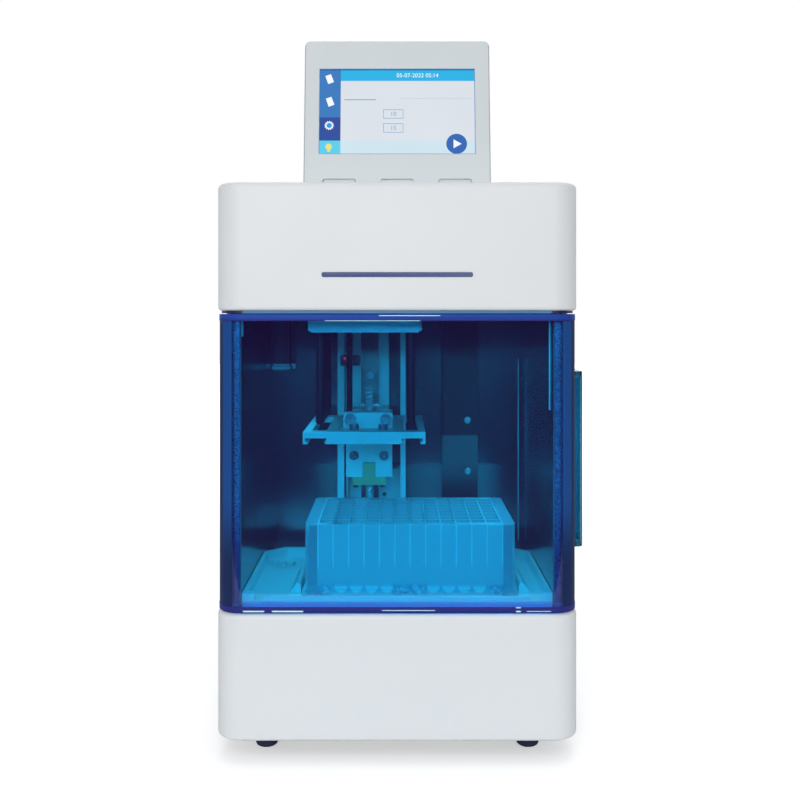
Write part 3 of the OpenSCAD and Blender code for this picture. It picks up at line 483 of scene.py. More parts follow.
# the display's darker edges and its dark flanks beyond 55.7 mm from the middle are painted shade
tree, bsdf = grained("display_grey", (0.62, 0.66, 0.68), 0.42, grains=2200, relief=0.08, patchiness=0.03,
                     edge=(0.0012, 0.5), edge_colour=(0.50, 0.55, 0.55))
overpaint(tree, bsdf, times(tree, rise(tree, beside(tree), 0.0557, 0.0561), 0.7), (0.20, 0.23, 0.24))
grained("rubber_navy", (0.012, 0.016, 0.06), 0.7, grains=900, relief=0.35, patchiness=0.3)
# the rear casing's two front posts, beside the chamber, are speckled grey
tree, bsdf = grained("casing_with_posts", **CASING)
height = axis(tree, "Z")
post_grey = blend_colour(tree, rise(tree, height, 0.108, 0.134), (0.24, 0.26, 0.32), (0.29, 0.32, 0.40))
post_grey = blend_colour(tree, rise(tree, height, 0.215, 0.250), post_grey, (0.42, 0.46, 0.56))
fleck = rise(tree, noise(tree, place(tree), 1300.0), 0.38, 0.62, 0.55, 1.45)
post_grey = blend_colour(tree, 1.0, post_grey, grey(tree, fleck), "MULTIPLY")
overpaint(tree, bsdf, rise(tree, axis(tree, "Y"), -0.0971, -0.0974), post_grey)
print("finishes:", len(finishes))

# %% [markdown]
# ### Metals
# The lining is rolled sheet steel, dark because it mirrors a dark chamber; its colour is also set
# darker than bare steel as painted shade, and the right panel has a lighter copy as painted light.
# The head is cut from aluminium and blasted to a satin that scatters the light, so its metallic value
# stays low; its parts have lighter and darker copies of one finish as painted light and shade. Three
# solids change along their length, and masks in object coordinates do that.

# %% Metals
SHEET = dict(roughness=0.2, stretch=(900.0, 900.0, 12.0), contrast=0.3)
# the steel's colour is darker than bare steel, as painted shade; the right panel's copy is lighter, as painted
# light
brushed_metal("steel_sheet", (0.25, 0.25, 0.28), **SHEET)
brushed_metal("steel_sheet_painted_lighter", (0.38, 0.40, 0.44), **SHEET)
brushed_metal("steel_ground", (0.45, 0.47, 0.50), 0.22, (900.0, 900.0, 30.0))
# painted reflection: the lower middle of the back panel is pale and not metallic, so that the tray
# lamps light it where the steel would mirror the lit plate and tray
tree, bsdf = brushed_metal("steel_sheet_back", (0.25, 0.25, 0.28), **SHEET)
painted_reflection = times(tree, rise(tree, axis(tree, "Z"), 0.1460, 0.1425),
             between(tree, axis(tree, "X"), -0.055, 0.070, 0.012))
overpaint(tree, bsdf, painted_reflection, (0.20, 0.26, 0.28))
wire(tree, maths(tree, "SUBTRACT", 1.0, painted_reflection), bsdf.inputs["Metallic"])
grained("screw_steel", (0.78, 0.80, 0.83), 0.3, 1.0, grains=500, relief=0.04, patchiness=0.15)
grained("thread_steel", (0.90, 0.92, 0.95), 0.25, 0.4, grains=900, relief=0.2, patchiness=0.2)
grained("screw_dark", (0.42, 0.45, 0.52), 0.27, 1.0, grains=700, relief=0.5, patchiness=0.3)
grained("motor_dark", (0.03, 0.03, 0.035), 0.45, 0.3, grains=1200, relief=0.25, patchiness=0.2)
grained("black_steel", (0.03, 0.03, 0.035), 0.3, 0.6, grains=900, relief=0.1, patchiness=0.2)
tree, bsdf = grained("ceiling_satin", (0.25, 0.25, 0.28), 0.35, 0.6, grains=1500, relief=0.1, patchiness=0.1)
overpaint(tree, bsdf, rise(tree, axis(tree, "Y"), -0.1385, -0.1395), (0.06, 0.30, 0.62))
# anodised aluminium, blasted with beads before it was dyed; the column and slider have a lighter
# copy as painted light, the head and the holder darker copies as painted shade, and pale edges are
# painted highlights
PAINTED_EDGE_HIGHLIGHT = (0.95, 0.97, 1.0)
for name, colour, roughness, metallic, relief, patchiness, edge in (
        ("column_satin", (0.95, 0.96, 0.97), 0.45, 0.1, 0.4, 0.08, None),
        ("holder_satin", (0.44, 0.48, 0.55), 0.5, 0.3, 0.6, 0.12, None),
        ("head_satin", (0.62, 0.65, 0.67), 0.5, 0.3, 0.6, 0.12, (0.0005, 0.6)),
        ("aluminium_bead", (0.84, 0.86, 0.88), 0.5, 0.35, 0.6, 0.12, (0.0005, 0.5)),
        ("tray_satin", (0.84, 0.87, 0.90), 0.4, 0.15, 0.3, 0.08, (0.0006, 0.5))):
    grained(name, colour, roughness, metallic, 2600, relief, patchiness, edge, PAINTED_EDGE_HIGHLIGHT)
print("finishes:", len(finishes))

# %% [markdown]
# ### Plastics inside
# The small plastic pieces are all the same kind of finish, grained and a little patchy, so a table
# and a loop make them. The red lamp glows, the duct has a lighter part, and the lamp's holder has a
# pale foot that is a painted highlight.

# %% Plastics inside
for name, colour, roughness, grains, relief, patchiness in (
        ("plastic_black", (0.018, 0.018, 0.022), 0.4, 1500, 0.2, 0.2),
        ("lug_dark", (0.10, 0.16, 0.30), 0.5, 1500, 0.2, 0.2),
        ("plastic_red", (0.45, 0.02, 0.02), 0.25, 1500, 0.05, 0.1),
        ("nut_green", (0.98, 0.68, 0.36), 0.45, 1400, 0.2, 0.15),
        ("bar_blue", (0.14, 0.42, 0.72), 0.3, 1500, 0.05, 0.2),
        ("board_green", (0.02, 0.16, 0.07), 0.4, 700, 0.2, 0.4),
        ("status_bar_blue", (0.02, 0.045, 0.20), 0.2, 1500, 0.03, 0.1),
        ("light_bar_white", (0.80, 0.84, 0.88), 0.35, 1500, 0.05, 0.03),
        ("screen_glass", (0.70, 0.78, 0.82), 0.12, 2500, 0.01, 0.03)):
    grained(name, colour, roughness, grains=grains, relief=relief, patchiness=patchiness)
grained("led_red", (0.75, 0.02, 0.03), 0.2, grains=2000, relief=0.02, patchiness=0.1,
        Emission_Color=(1.0, 0.005, 0.012, 1), Emission_Strength=18.0)
tree, bsdf = grained("duct_grey", (0.03, 0.03, 0.035), 0.38, grains=1400, relief=0.1, patchiness=0.2)
height = axis(tree, "Z")
overpaint(tree, bsdf, times(tree, rise(tree, height, 0.1656, 0.1640), rise(tree, height, 0.122, 0.150)),
          (0.14, 0.17, 0.18))
tree, bsdf = grained("lamp_holder", (0.06, 0.06, 0.07), 0.4, grains=1400, relief=0.1, patchiness=0.2)
# the holder's pale foot is a painted highlight where its rim catches the light
overpaint(tree, bsdf, rise(tree, axis(tree, "Z"), 0.2155, 0.2150), (0.55, 0.60, 0.62))
print("finishes:", len(finishes))

# %% [markdown]
# ## The clear blue door
# A sheet of clear acrylic tints what is behind it twice: light is filtered on its way in and
# again on its way out. The shader is glass with a tint. A lamp's shadow ray can't pass glass in
# a path tracer, so for shadow rays the same material is a plain tinted transparency.


# %% Clear plastic that lets lamps through
SMEAR = 0.03


def clear_plastic(name, tint, roughness):
    """Tinted clear plastic; its surface has faint smears that change the roughness."""
    tree, bsdf = principled(name, tint, roughness, Transmission_Weight=1.0, IOR=1.47)
    swing = times(tree, noise(tree, place(tree), 9.0, 5.0), SMEAR)
    wire(tree, maths(tree, "ADD", swing, roughness - SMEAR / 2, clamp=True), bsdf.inputs["Roughness"])
    through = tree.nodes.new("ShaderNodeBsdfTransparent")
    through.inputs["Color"].default_value = (*[math.sqrt(v) for v in tint], 1)
    mix = tree.nodes.new("ShaderNodeMixShader")
    wire(tree, tree.nodes.new("ShaderNodeLightPath").outputs["Is Shadow Ray"], mix.inputs["Fac"])
    wire(tree, bsdf.outputs[0], mix.inputs[1])
    wire(tree, through.outputs[0], mix.inputs[2])
    wire(tree, mix.outputs[0], tree.nodes["Material Output"].inputs["Surface"])
    return tree, bsdf


clear_plastic("handle_blue", (0.06, 0.32, 0.50), 0.12)
clear_plastic("lamp_glass", (0.88, 0.94, 0.98), 0.05)

# %% [markdown]
# ### The sheet's tint
# Seen flat, the sheet is sky blue. In its rounded corners the light passes through more plastic
# and comes out deeper, and so it does at the very bottom. Masks blend the tints, and a weak
# violet sheen stands for the haze on its surface.

# %% Door sheet
DOOR_TINT = (0.05, 0.62, 0.86)
tree, bsdf = clear_plastic("door_blue", DOOR_TINT, 0.02)
bsdf.inputs["Sheen Weight"].default_value = 0.05
bsdf.inputs["Sheen Roughness"].default_value = 1.0
bsdf.inputs["Sheen Tint"].default_value = (0.38, 0.03, 0.80, 1)
side, height = beside(tree), axis(tree, "Z")
on_front = rise(tree, axis(tree, "Y"), -0.119, -0.125)
corner_tint = blend_colour(tree, rise(tree, height, 0.110, 0.150), (0.07, 0.19, 0.52), (0.07, 0.36, 0.68))
corner = times(tree, rise(tree, side, 0.0870, 0.0884), on_front)
tint = blend_colour(tree, corner, DOOR_TINT, corner_tint)
middle_band = times(tree, between(tree, side, 0.0928, 0.0990, 0.0006), on_front)
tint = blend_colour(tree, middle_band, tint, (0.05, 0.25, 0.50))
tint = blend_colour(tree, rise(tree, height, 0.0894, 0.0890), tint, (0.05, 0.25, 0.75))
wire(tree, tint, bsdf.inputs["Base Color"])
print("door sheet nodes:", len(tree.nodes))

# %% [markdown]
# ### The rails' finish
# The door's thick edges look royal blue with fine streaks along them, and the lamps show on them
# as short hard glints. A mirror that small would need a very bright point lamp, which would spoil
# the rest, so the glints are painted.

# %% Rail finish
RAIL_BLUE = (0.024, 0.080, 0.46)
tree, bsdf = principled("rail_blue", RAIL_BLUE, 0.45, Specular_IOR_Level=0.08)
streaks = place_group(tree, brushed, Colour=(*RAIL_BLUE, 1), Stretch=(9.0, 9.0, 1100.0), Relief=0.1,
                      Contrast=0.6, Roughness=0.45)
height, across = axis(tree, "Z"), axis(tree, "X")
shade = blend_colour(tree, rise(tree, height, 0.2482, 0.2474), streaks["Colour"], (0.024, 0.028, 0.19))
shade = blend_colour(tree, between(tree, height, 0.0872, 0.0894, 0.0001), shade, (0.014, 0.11, 0.42))
# fine bright glints, each from one x to another and from one height to another, in mm
for x0, x1, z0, z1 in (
        (-86.2, -74.5, 84.2, 85.0), (-70.0, -52.7, 84.2, 85.0), (66.5, 69.0, 84.2, 85.0),
        (72.5, 85.9, 84.4, 84.8), (-8.5, 21.0, 84.9, 85.4), (66.5, 69.0, 86.4, 87.6), (-2.0, 15.0, 87.5, 88.1),
        (-10.2, 23.9, 249.75, 250.2), (-40.4, 12.7, 246.9, 247.3)):
    glint = times(tree, between(tree, across, x0 * MM, x1 * MM, 0.0006),
                  between(tree, height, z0 * MM, z1 * MM, 0.0001))
    shade = blend_colour(tree, glint, shade, (0.55, 0.85, 0.95))
wire_surface(tree, streaks, bsdf, shade)
print("finishes:", len(finishes))

# %% [markdown]
# ## Translucent plate plastic
# Natural polypropylene is milky: each wall scatters some light and lets some through. A pale
# surface that is partly see-through, and more solid where it is seen edge-on, shows the wells
# behind the front wall without the noise of real scattering. Masks in object coordinates paint
# what the moulding's walls do to the light: painted light in paler lines where two wells meet and
# in a round bottom under each well, and painted shade on the solid end beside the rows and low
# between the bottoms.

# %% Where the plate's parts lie
PITCH = 9
PLATE_AT = Vector((7.6, -73.5, 85.5))
tree, bsdf = grained("plate_clear", (0.78, 0.88, 0.93), 0.3, grains=1200, relief=0.05, patchiness=0.04)
coord = place(tree)
across, along, height = (part_of(tree, coord, letter) for letter in "XYZ")
normal = tree.nodes.new("ShaderNodeNewGeometry").outputs["Normal"]
off_middle = maths(tree, "SUBTRACT", across, PLATE_AT.x * MM)
phase = maths(tree, "PINGPONG", off_middle, PITCH / 2 * MM)
in_rows = rise(tree, maths(tree, "ABSOLUTE", off_middle), 0.0548, 0.0540)
facing = rise(tree, times(tree, part_of(tree, normal, "Y"), -1.0), 0.8, 0.95)
top_face = times(tree, rise(tree, part_of(tree, normal, "Z"), 0.8, 0.95), rise(tree, height, 0.126, 0.127))
walls = times(tree, rise(tree, phase, 0.0006, 0.0001), in_rows, facing, rise(tree, height, 0.099, 0.108))
web = times(tree, in_rows, top_face, 0.8)
from_centre = tree.nodes.new("ShaderNodeCombineXYZ")
wire(tree, maths(tree, "SUBTRACT", PITCH / 2 * MM, phase), from_centre.inputs[0])
wire(tree, maths(tree, "SUBTRACT", height, 0.0923), from_centre.inputs[1])
reach = vector_maths(tree, "LENGTH", from_centre.outputs[0]).outputs["Value"]
dome = times(tree, rise(tree, reach, 0.0044, 0.0034), rise(tree, height, 0.0935, 0.0905), in_rows, facing)
print("plate masks nodes:", len(tree.nodes))

# %% [markdown]
# ### Colour and cover of the plate
# The cover is thin where a wall is seen square on and grows towards its edges, which is what a
# Layer Weight node measures. The masks then add to it, and tint it one after another.

# %% Milky plastic
rim = tree.nodes.new("ShaderNodeLayerWeight")
rim.inputs["Blend"].default_value = 0.45
cover = rise(tree, rim.outputs["Facing"], 0.0, 1.0, 0.42, 0.9, "LINEAR")
extra = maths(tree, "ADD", times(tree, walls, 0.25), maths(tree, "MAXIMUM", web, times(tree, dome, 0.2)))
wire(tree, maths(tree, "ADD", cover, extra, clamp=True), bsdf.inputs["Alpha"])
ends = times(tree, maths(tree, "SUBTRACT", 1.0, in_rows), maths(tree, "ADD", facing, top_face, clamp=True))
# painted shade on the solid ends beside the rows
overpaint(tree, bsdf, times(tree, ends, 0.8), (0.40, 0.48, 0.58))
# painted light in paler lines where two wells meet
overpaint(tree, bsdf, times(tree, walls, 0.5), (0.92, 0.97, 1.0))
# dark blotches low on the front, at three places along it
low_zone = times(tree, between(tree, height, 0.0868, 0.0925, 0.0015), facing)
blotch = rise(tree, noise(tree, coord, 420.0, 3.0), 0.42, 0.56)
for middle_mm, half_mm in ((-41.9, 5.0), (7.0, 10.0), (57.6, 5.0)):
    near = between(tree, across, (middle_mm - half_mm) * MM, (middle_mm + half_mm) * MM, 0.0012)
    overpaint(tree, bsdf, times(tree, near, low_zone, blotch, 0.75), (0.10, 0.14, 0.30))
    dome = times(tree, dome, maths(tree, "SUBTRACT", 1.0, near))
# painted shade low between the rounded bottoms
overpaint(tree, bsdf, times(tree, low_zone, in_rows, 0.35), (0.35, 0.45, 0.60))
# painted light in the round bottoms of the wells
overpaint(tree, bsdf, times(tree, dome, 0.6), (0.95, 0.98, 1.0))
# a painted highlight along the plate's top front edge
top_edge_highlight = times(tree, rise(tree, height, 0.1270, 0.1274), rise(tree, along, -0.1128, -0.1134))
overpaint(tree, bsdf, times(tree, top_edge_highlight, 0.8), (0.95, 1.0, 1.0))
print("finishes:", len(finishes))

# %% [markdown]
# ## Dressing the solids
# The solids arrive with split corners. A Weld modifier joins them, a planar Decimate melts the
# triangles of each flat face, and a narrow Bevel gives every edge the small radius that a real
# edge has and that catches the light. Weighted normals keep the flat faces flat.

# %% Soften and paint the solids
BEVEL_MM = {
    "lower_casing": 0.35, "upper_casing": 0.35, "rear_casing": 0.3, "display_housing": 0.4,
    "display_back": 0.4, "door_shell": 0.3, "door_handle": 0.5, "comb_bracket": 0.3,
    "magnet_holder": 0.35, "column": 0.3, "comb_slider": 0.3, "lift_block": 0.3,
    "spill_tray": 0.35, "comb_carriage_block": 0.3, "magnet_carriage_block": 0.3,
    "head_screws": 0.45, "plate_clips": 0.3, "magnet_motor": 0.5, "comb_motor": 0.5, "z_rail": 0.25,
}


def soften(piece, width_mm):
    """Weld, melt flat triangles, bevel and weighted normals."""
    weld = piece.modifiers.new("weld", "WELD")
    weld.merge_threshold = 0.00002
    melt = piece.modifiers.new("melt", "DECIMATE")
    melt.decimate_type = "DISSOLVE"
    melt.angle_limit = math.radians(0.6)
    bevel = piece.modifiers.new("bevel", "BEVEL")
    bevel.width = width_mm * MM
    bevel.segments = 2
    bevel.limit_method = "ANGLE"
    bevel.angle_limit = math.radians(35)
    weighted = piece.modifiers.new("weighted", "WEIGHTED_NORMAL")
    weighted.keep_sharp = False
    weighted.weight = 80


# solids whose finish differs from that of their material slot
FINISH_OF = {
    "rear_casing": "casing_with_posts", "spill_tray": "tray_satin", "cable_duct": "duct_grey",
    "interior_light_bar": "bar_blue", "chamber_ceiling": "ceiling_satin",
    "chamber_right_panel": "steel_sheet_painted_lighter", "chamber_back_panel": "steel_sheet_back",
    "head_screws": "screw_dark", "column": "column_satin", "comb_slider": "column_satin",
    "comb_bracket": "head_satin", "lift_block": "head_satin", "magnet_holder": "holder_satin",
    "uv_lamp_holder": "lamp_holder",
}
PLAIN_BEVEL_MM = 0.15
for name, piece in nodes.items():
    for slot in piece.material_slots:
        slot.material = finishes[FINISH_OF.get(name, slot_of[name])]
    soften(piece, BEVEL_MM.get(name, PLAIN_BEVEL_MM))
print("dressed solids:", len(nodes))

# %% [markdown]
# ## Building meshes
# The next pieces are drawn ring by ring: a ring is a closed loop of points at one height, and
# neighbouring rings are joined by quads. A rounded rectangle, a screw thread and a moulded well
# are all such stacks of rings.


# %% Mesh helpers
def rounded_ring(half_x, half_y, radius, z, steps=4, centre=(0, 0)):
    """Points of a rounded rectangle in a level plane, in millimetres, anticlockwise."""
    points = []
    for quarter, (sx, sy) in enumerate(((1, 1), (-1, 1), (-1, -1), (1, -1))):
        for k in range(steps):
            angle = math.radians(90 * quarter + 90 * k / (steps - 1))
            points.append((centre[0] + sx * (half_x - radius) + radius * math.cos(angle),
                           centre[1] + sy * (half_y - radius) + radius * math.sin(angle), z))
    return points


def add_ring(bm, points):
    """Puts a ring of points in millimetres into a mesh and gives its corners."""
    return [bm.verts.new(Vector(point) * MM) for point in points]


def join_rings(bm, lower, upper):
    """Quads between two rings with the same number of corners."""
    for i in range(len(lower)):
        j = (i + 1) % len(lower)
        bm.faces.new((lower[i], lower[j], upper[j], upper[i]))


def stack(bm, rings, start=False, end=False):
    """Joins each ring to the next, and closes the stack at its start and its end where asked."""
    for lower, upper in zip(rings, rings[1:]):
        join_rings(bm, lower, upper)
    if start:
        bm.faces.new(rings[0][::-1])
    if end:
        bm.faces.new(rings[-1])


def fill_between(bm, rings):
    """Fills a flat area between an outer ring and any number of holes."""
    loops = []
    for ring in rings:
        for i in range(len(ring)):
            loops.append(bm.edges.get((ring[i], ring[(i + 1) % len(ring)]))
                         or bm.edges.new((ring[i], ring[(i + 1) % len(ring)])))
    bmesh.ops.triangle_fill(bm, use_beauty=True, edges=loops)


def as_piece(name, bm, finish, body, smooth_angle=30):
    """Turns a bmesh into a painted object that rides on a body."""
    bmesh.ops.recalc_face_normals(bm, faces=bm.faces)
    mesh = bpy.data.meshes.new(name)
    bm.to_mesh(mesh)
    bm.free()
    sharp = math.radians(smooth_angle)
    mesh.shade_smooth()
    mesh.set_sharp_from_angle(angle=sharp)
    mesh.materials.append(finishes[finish])
    piece = bpy.data.objects.new(name, mesh)
    bpy.context.collection.objects.link(piece)
    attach(piece, body)
    print(name, "faces:", len(mesh.polygons))
    return piece


# %% [markdown]
# ## The deep-well plate
# A 96 deep-well plate is one thin moulding: a deck with square openings, a tapered well with a
# round bottom under each, and an outer wall that ends in a wider skirt. It is built the same
# way, walls and all, because its plastic is translucent and every well shows from the front.

# %% Plate
DECK = 42.4
# each level of a wall is half its width, the radius of its corners and its height, in mm
well_inside = [(4.1, 0.7, DECK), (4.0, 0.9, 30), (3.9, 1.1, 12), (3.7, 1.8, 8.6), (3.1, 2.4, 6.2),
               (2.0, 1.9, 4.9), (0.8, 0.79, 4.45)]
well_outside = [(4.42, 0.9, DECK - 1), (4.36, 1.1, 30), (4.28, 1.3, 12), (4.1, 2.0, 8.2), (3.5, 2.6, 5.6),
                (2.3, 2.2, 4.2), (0.9, 0.89, 3.75)]
bm = bmesh.new()
outer = [add_ring(bm, rounded_ring(hx, hy, r, z, 6)) for hx, hy, r, z in (
    (61.48, 40.49, 3, DECK), (61.6, 40.6, 3, 8), (62.4, 41.35, 3, 4.6), (63.6, 42.5, 3.2, 2.2),
    (63.88, 42.74, 3.2, 0), (62.7, 41.56, 2.2, 0), (62.7, 41.56, 2.2, 4.8), (60.4, 39.4, 2, 4.8),
    (60.4, 39.4, 2, DECK - 1))]
stack(bm, outer)
top_holes, under_holes = [], []
for column in range(12):
    for row in range(8):
        at = ((column - 5.5) * PITCH, (row - 3.5) * PITCH)
        for profile, holes in ((well_inside, top_holes), (well_outside, under_holes)):
            rings = [add_ring(bm, rounded_ring(h, h, r, z, 4, at)) for h, r, z in profile]
            stack(bm, rings, end=True)
            holes.append(rings[0])
fill_between(bm, [outer[0]] + top_holes)
fill_between(bm, [outer[-1]] + under_holes)
bmesh.ops.translate(bm, verts=bm.verts, vec=PLATE_AT * MM)
plate = as_piece("deep_well_plate_moulding", bm, "plate_clear", "well_plate")
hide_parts("deep_well_plate")

# %% [markdown]
# ## Screw threads
# The lift screws are threaded rods. A thread is a surface whose radius follows a trapezoid wave
# that climbs as it goes round. Several starts side by side give the criss-cross look of a
# fast-moving lead screw.


# %% Thread
def threaded_rod(name, at, z0, z1, radius, depth, lead, starts, finish, body, around=40, step=0.3):
    """A rod along Z from z0 to z1 in millimetres with a trapezoid thread cut into it."""
    bm = bmesh.new()
    levels = int((z1 - z0) / step)
    rings = []
    for level in range(levels + 1):
        z = z0 + (z1 - z0) * level / levels
        end = min(1.0, (z1 - z) / 1.2, (z - z0) / 1.2)
        ring = []
        for k in range(around):
            turn = k / around
            wave = abs(((turn * starts - z * starts / lead) % 1.0) * 2 - 1)
            cut = min(1.0, max(0.0, (wave - 0.3) / 0.4)) * depth * end + (1 - end) * depth * 0.6
            ring.append((at[0] + (radius - cut) * math.cos(2 * math.pi * turn),
                         at[1] + (radius - cut) * math.sin(2 * math.pi * turn), z))
        rings.append(add_ring(bm, ring))
    stack(bm, rings, start=True, end=True)
    return as_piece(name, bm, finish, body, smooth_angle=20)


COMB_SCREW_AT, LIFT_SCREW_AT = (-18.8, -19.5), (-30.1, -66.0)
comb_thread = threaded_rod("comb_screw_thread", COMB_SCREW_AT, 68.5, 197.4, 3.0, 0.55, 8, 4,
                           "thread_steel", "comb_drive_screw")
# the plain journal that turns in the motor
bm = bmesh.new()
x, y = COMB_SCREW_AT
turns = [math.tau * k / 32 for k in range(32)]
stack(bm, [add_ring(bm, [(x + r * math.cos(turn), y + r * math.sin(turn), z) for turn in turns])
           for r, z in ((1.7, 60), (2, 60.3), (2, 69))], start=True, end=True)
journal_piece = as_piece("comb_screw_journal", bm, "screw_steel", "comb_drive_screw")
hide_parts("comb_screw")
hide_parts("comb_screw")
lift_thread = threaded_rod("magnet_lift_screw_thread", LIFT_SCREW_AT, 181.2, 288.1, 2.0, 0.35, 2, 1,
                           "black_steel", "comb_head", around=28, step=0.25)
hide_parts("magnet_lift_screw")

# %% [markdown]
# ## Rails of the door
# The door's sheet is thicker along its top and bottom edge, and there the plastic looks deep
# blue, because light has a long way through it. Each rail gets a thin skin that follows the
# sheet round both corners. Its rounded profile catches the lamps in fine bright lines.


# %% Door rails
DOOR_SIDE, DOOR_FRONT, DOOR_ROUND = 101.5, -139.2, 14.0
CORNER_X, CORNER_Y = DOOR_SIDE - DOOR_ROUND, DOOR_FRONT + DOOR_ROUND


def door_path(off):
    """Points along the door's outer face at a distance off, from the hinge side round, in mm."""
    points = [(-DOOR_SIDE - off, -106.5), (-DOOR_SIDE - off, CORNER_Y)]
    for middle_x, start in ((-CORNER_X, 180), (CORNER_X, 270)):
        for k in range(1, 13):
            angle = math.radians(start + 90 * k / 12)
            points.append((middle_x + (DOOR_ROUND + off) * math.cos(angle),
                           CORNER_Y + (DOOR_ROUND + off) * math.sin(angle)))
        if start == 180:
            points.append((CORNER_X, DOOR_FRONT - off))
    return points + [(DOOR_SIDE + off, -99.6)]


def band_piece(name, path, profile, finish, body):
    """A strip that follows a path; profile lists (distance from the door's face, height) in mm."""
    bm = bmesh.new()
    rows = [add_ring(bm, [(x, y, z) for x, y in path(off)]) for off, z in profile]
    for lower, upper in zip(rows, rows[1:] + rows[:1]):
        for i in range(len(lower) - 1):
            bm.faces.new((lower[i], lower[i + 1], upper[i + 1], upper[i]))
    bm.faces.new([row[0] for row in rows])
    bm.faces.new([row[-1] for row in rows][::-1])
    return as_piece(name, bm, finish, body, smooth_angle=40)


for name, profile in (
        ("door_top_rail", [(0.02, 246.95), (0.18, 247.0), (0.3, 247.25), (0.34, 247.6), (0.34, 250.2),
                           (0.3, 250.55), (0.18, 250.8), (0.02, 250.86)]),
        ("door_low_rail", [(0.02, 83.42), (0.2, 83.46), (0.32, 83.7), (0.32, 84.1), (0.1, 84.3),
                           (0.1, 84.95), (0.32, 85.1), (0.34, 86.5), (0.26, 86.85), (0.02, 87.0)])):
    band_piece(name, door_path, profile, "rail_blue", "door")

# %% [markdown]
# ## Lugs on the tray
# Two small dark lugs stand on the tray in front of the plate and keep it from sliding out.

# %% Tray lugs
for name, across in (("tray_lug_left", -46.8), ("tray_lug_right", 62.3)):
    bm = bmesh.new()
    rings = [add_ring(bm, rounded_ring(half_x, half_y, 0.3, z, 4, (across, -117.6)))
             for half_x, half_y, z in ((1.0, 0.7, 85.05), (1.0, 0.7, 87.6), (0.6, 0.4, 88.6))]
    stack(bm, rings, start=True, end=True)
    as_piece(name, bm, "lug_dark", "chassis")

# %% [markdown]
# ## Seams of the lining
# The lining is folded from sheet. Where the right panel meets the back, and on the front flanges,
# the bare edge of the sheet shows as a fine light line, and its pale colour is a painted highlight.
# Each is a narrow strip that ends in a small chamfer.

# %% Lining seams
# the seams' pale colour is a painted highlight
tree, bsdf = grained("seam_painted_highlight", (0.60, 0.66, 0.70), 0.3, grains=1500, relief=0.1, patchiness=0.3)
overpaint(tree, bsdf, rise(tree, axis(tree, "X"), 0.0873, 0.0875), (0.03, 0.03, 0.04))
for name, x0, x1, y0, y1, z0, z1 in (
        ("lining_seam_back", 85.8, 86.5, 7.05, 7.49, 90.0, 219.0),
        ("lining_flange_right", 86.6, 88.99, -126.9, -126.5, 196.0, 252.0),
        ("lining_flange_left", -88.99, -87.9, -126.9, -126.5, 238.0, 252.0)):
    bm = bmesh.new()
    middle = ((x0 + x1) / 2, (y0 + y1) / 2)
    rings = [add_ring(bm, rounded_ring((x1 - x0) / 2 - cut, (y1 - y0) / 2 - cut, 0.05, z, 3, middle))
             for cut, z in ((0, z0), (0, z1 - 0.1), (0.05, z1))]
    stack(bm, rings, start=True, end=True)
    as_piece(name, bm, "seam_painted_highlight", "chassis")

# %% [markdown]
# ## Seal, and painted shade on the door's corners
# Over the door's top edge the casing has a soft blue seal, which is dark in the corners. The door's
# two rounded corners are dark on their outer half: a thin dark strip covers the sheet there as
# painted shade. Both follow the door's own path, so that they stay parallel to it all the way round.


# %% Seal over the door
tree, bsdf = grained("seal_blue", (0.07, 0.27, 0.56), 0.5, grains=1200, relief=0.2, patchiness=0.5)
overpaint(tree, bsdf, rise(tree, beside(tree), 0.0862, 0.0870), (0.010, 0.012, 0.06))
band_piece("door_seal", door_path, [(-1.0, 251.3), (-2.6, 251.3), (-2.6, 252.7), (-1.0, 252.7)], "seal_blue",
           "chassis")


# %% [markdown]
# ### Painted shade on the corners
# The dark could be a change of colour in the sheet's own material, but the sheet is one solid and
# glass, and a dark glass still shows what is behind it. A separate strip a tenth of a millimetre
# thick covers it, and its navy is painted shade.

# %% Painted shade on the corners
SHADE_STRIP_TURN = 68


def corner_path(side):
    """The outer half of one rounded corner and a little of the flank behind it."""
    def path(off):
        points = [(side * (DOOR_SIDE + off), -112.0), (side * (DOOR_SIDE + off), CORNER_Y)]
        for k in range(1, 9):
            angle = math.radians(SHADE_STRIP_TURN * k / 8)
            points.append((side * (CORNER_X + (DOOR_ROUND + off) * math.cos(angle)),
                           CORNER_Y - (DOOR_ROUND + off) * math.sin(angle)))
        return points
    return path


# the strips' navy is painted shade on the door's corners
tree, bsdf = grained("corner_shade_navy", (0.008, 0.026, 0.11), 0.6, grains=1500, relief=0.1, patchiness=0.3,
                     Specular_IOR_Level=0.1)
# the painted shade is lighter towards the inner edge and higher up
inner = times(tree, rise(tree, beside(tree), 0.0990, 0.0978), rise(tree, axis(tree, "Z"), 0.110, 0.150))
overpaint(tree, bsdf, inner, (0.010, 0.064, 0.25))
for side, name in ((-1, "door_film_left"), (1, "door_film_right")):
    band_piece(name, corner_path(side), [(0.02, 87.05), (0.10, 87.15), (0.10, 246.8), (0.02, 246.9)],
               "corner_shade_navy", "door")

# %% [markdown]
# ## Screws of the head's rail
# The upright rail that guides the comb head is held by a row of cap screws. Two of them show above
# the slider, each with its hexagon socket. Their heads are sunk, so that the blocks that run on the
# rail pass over them.


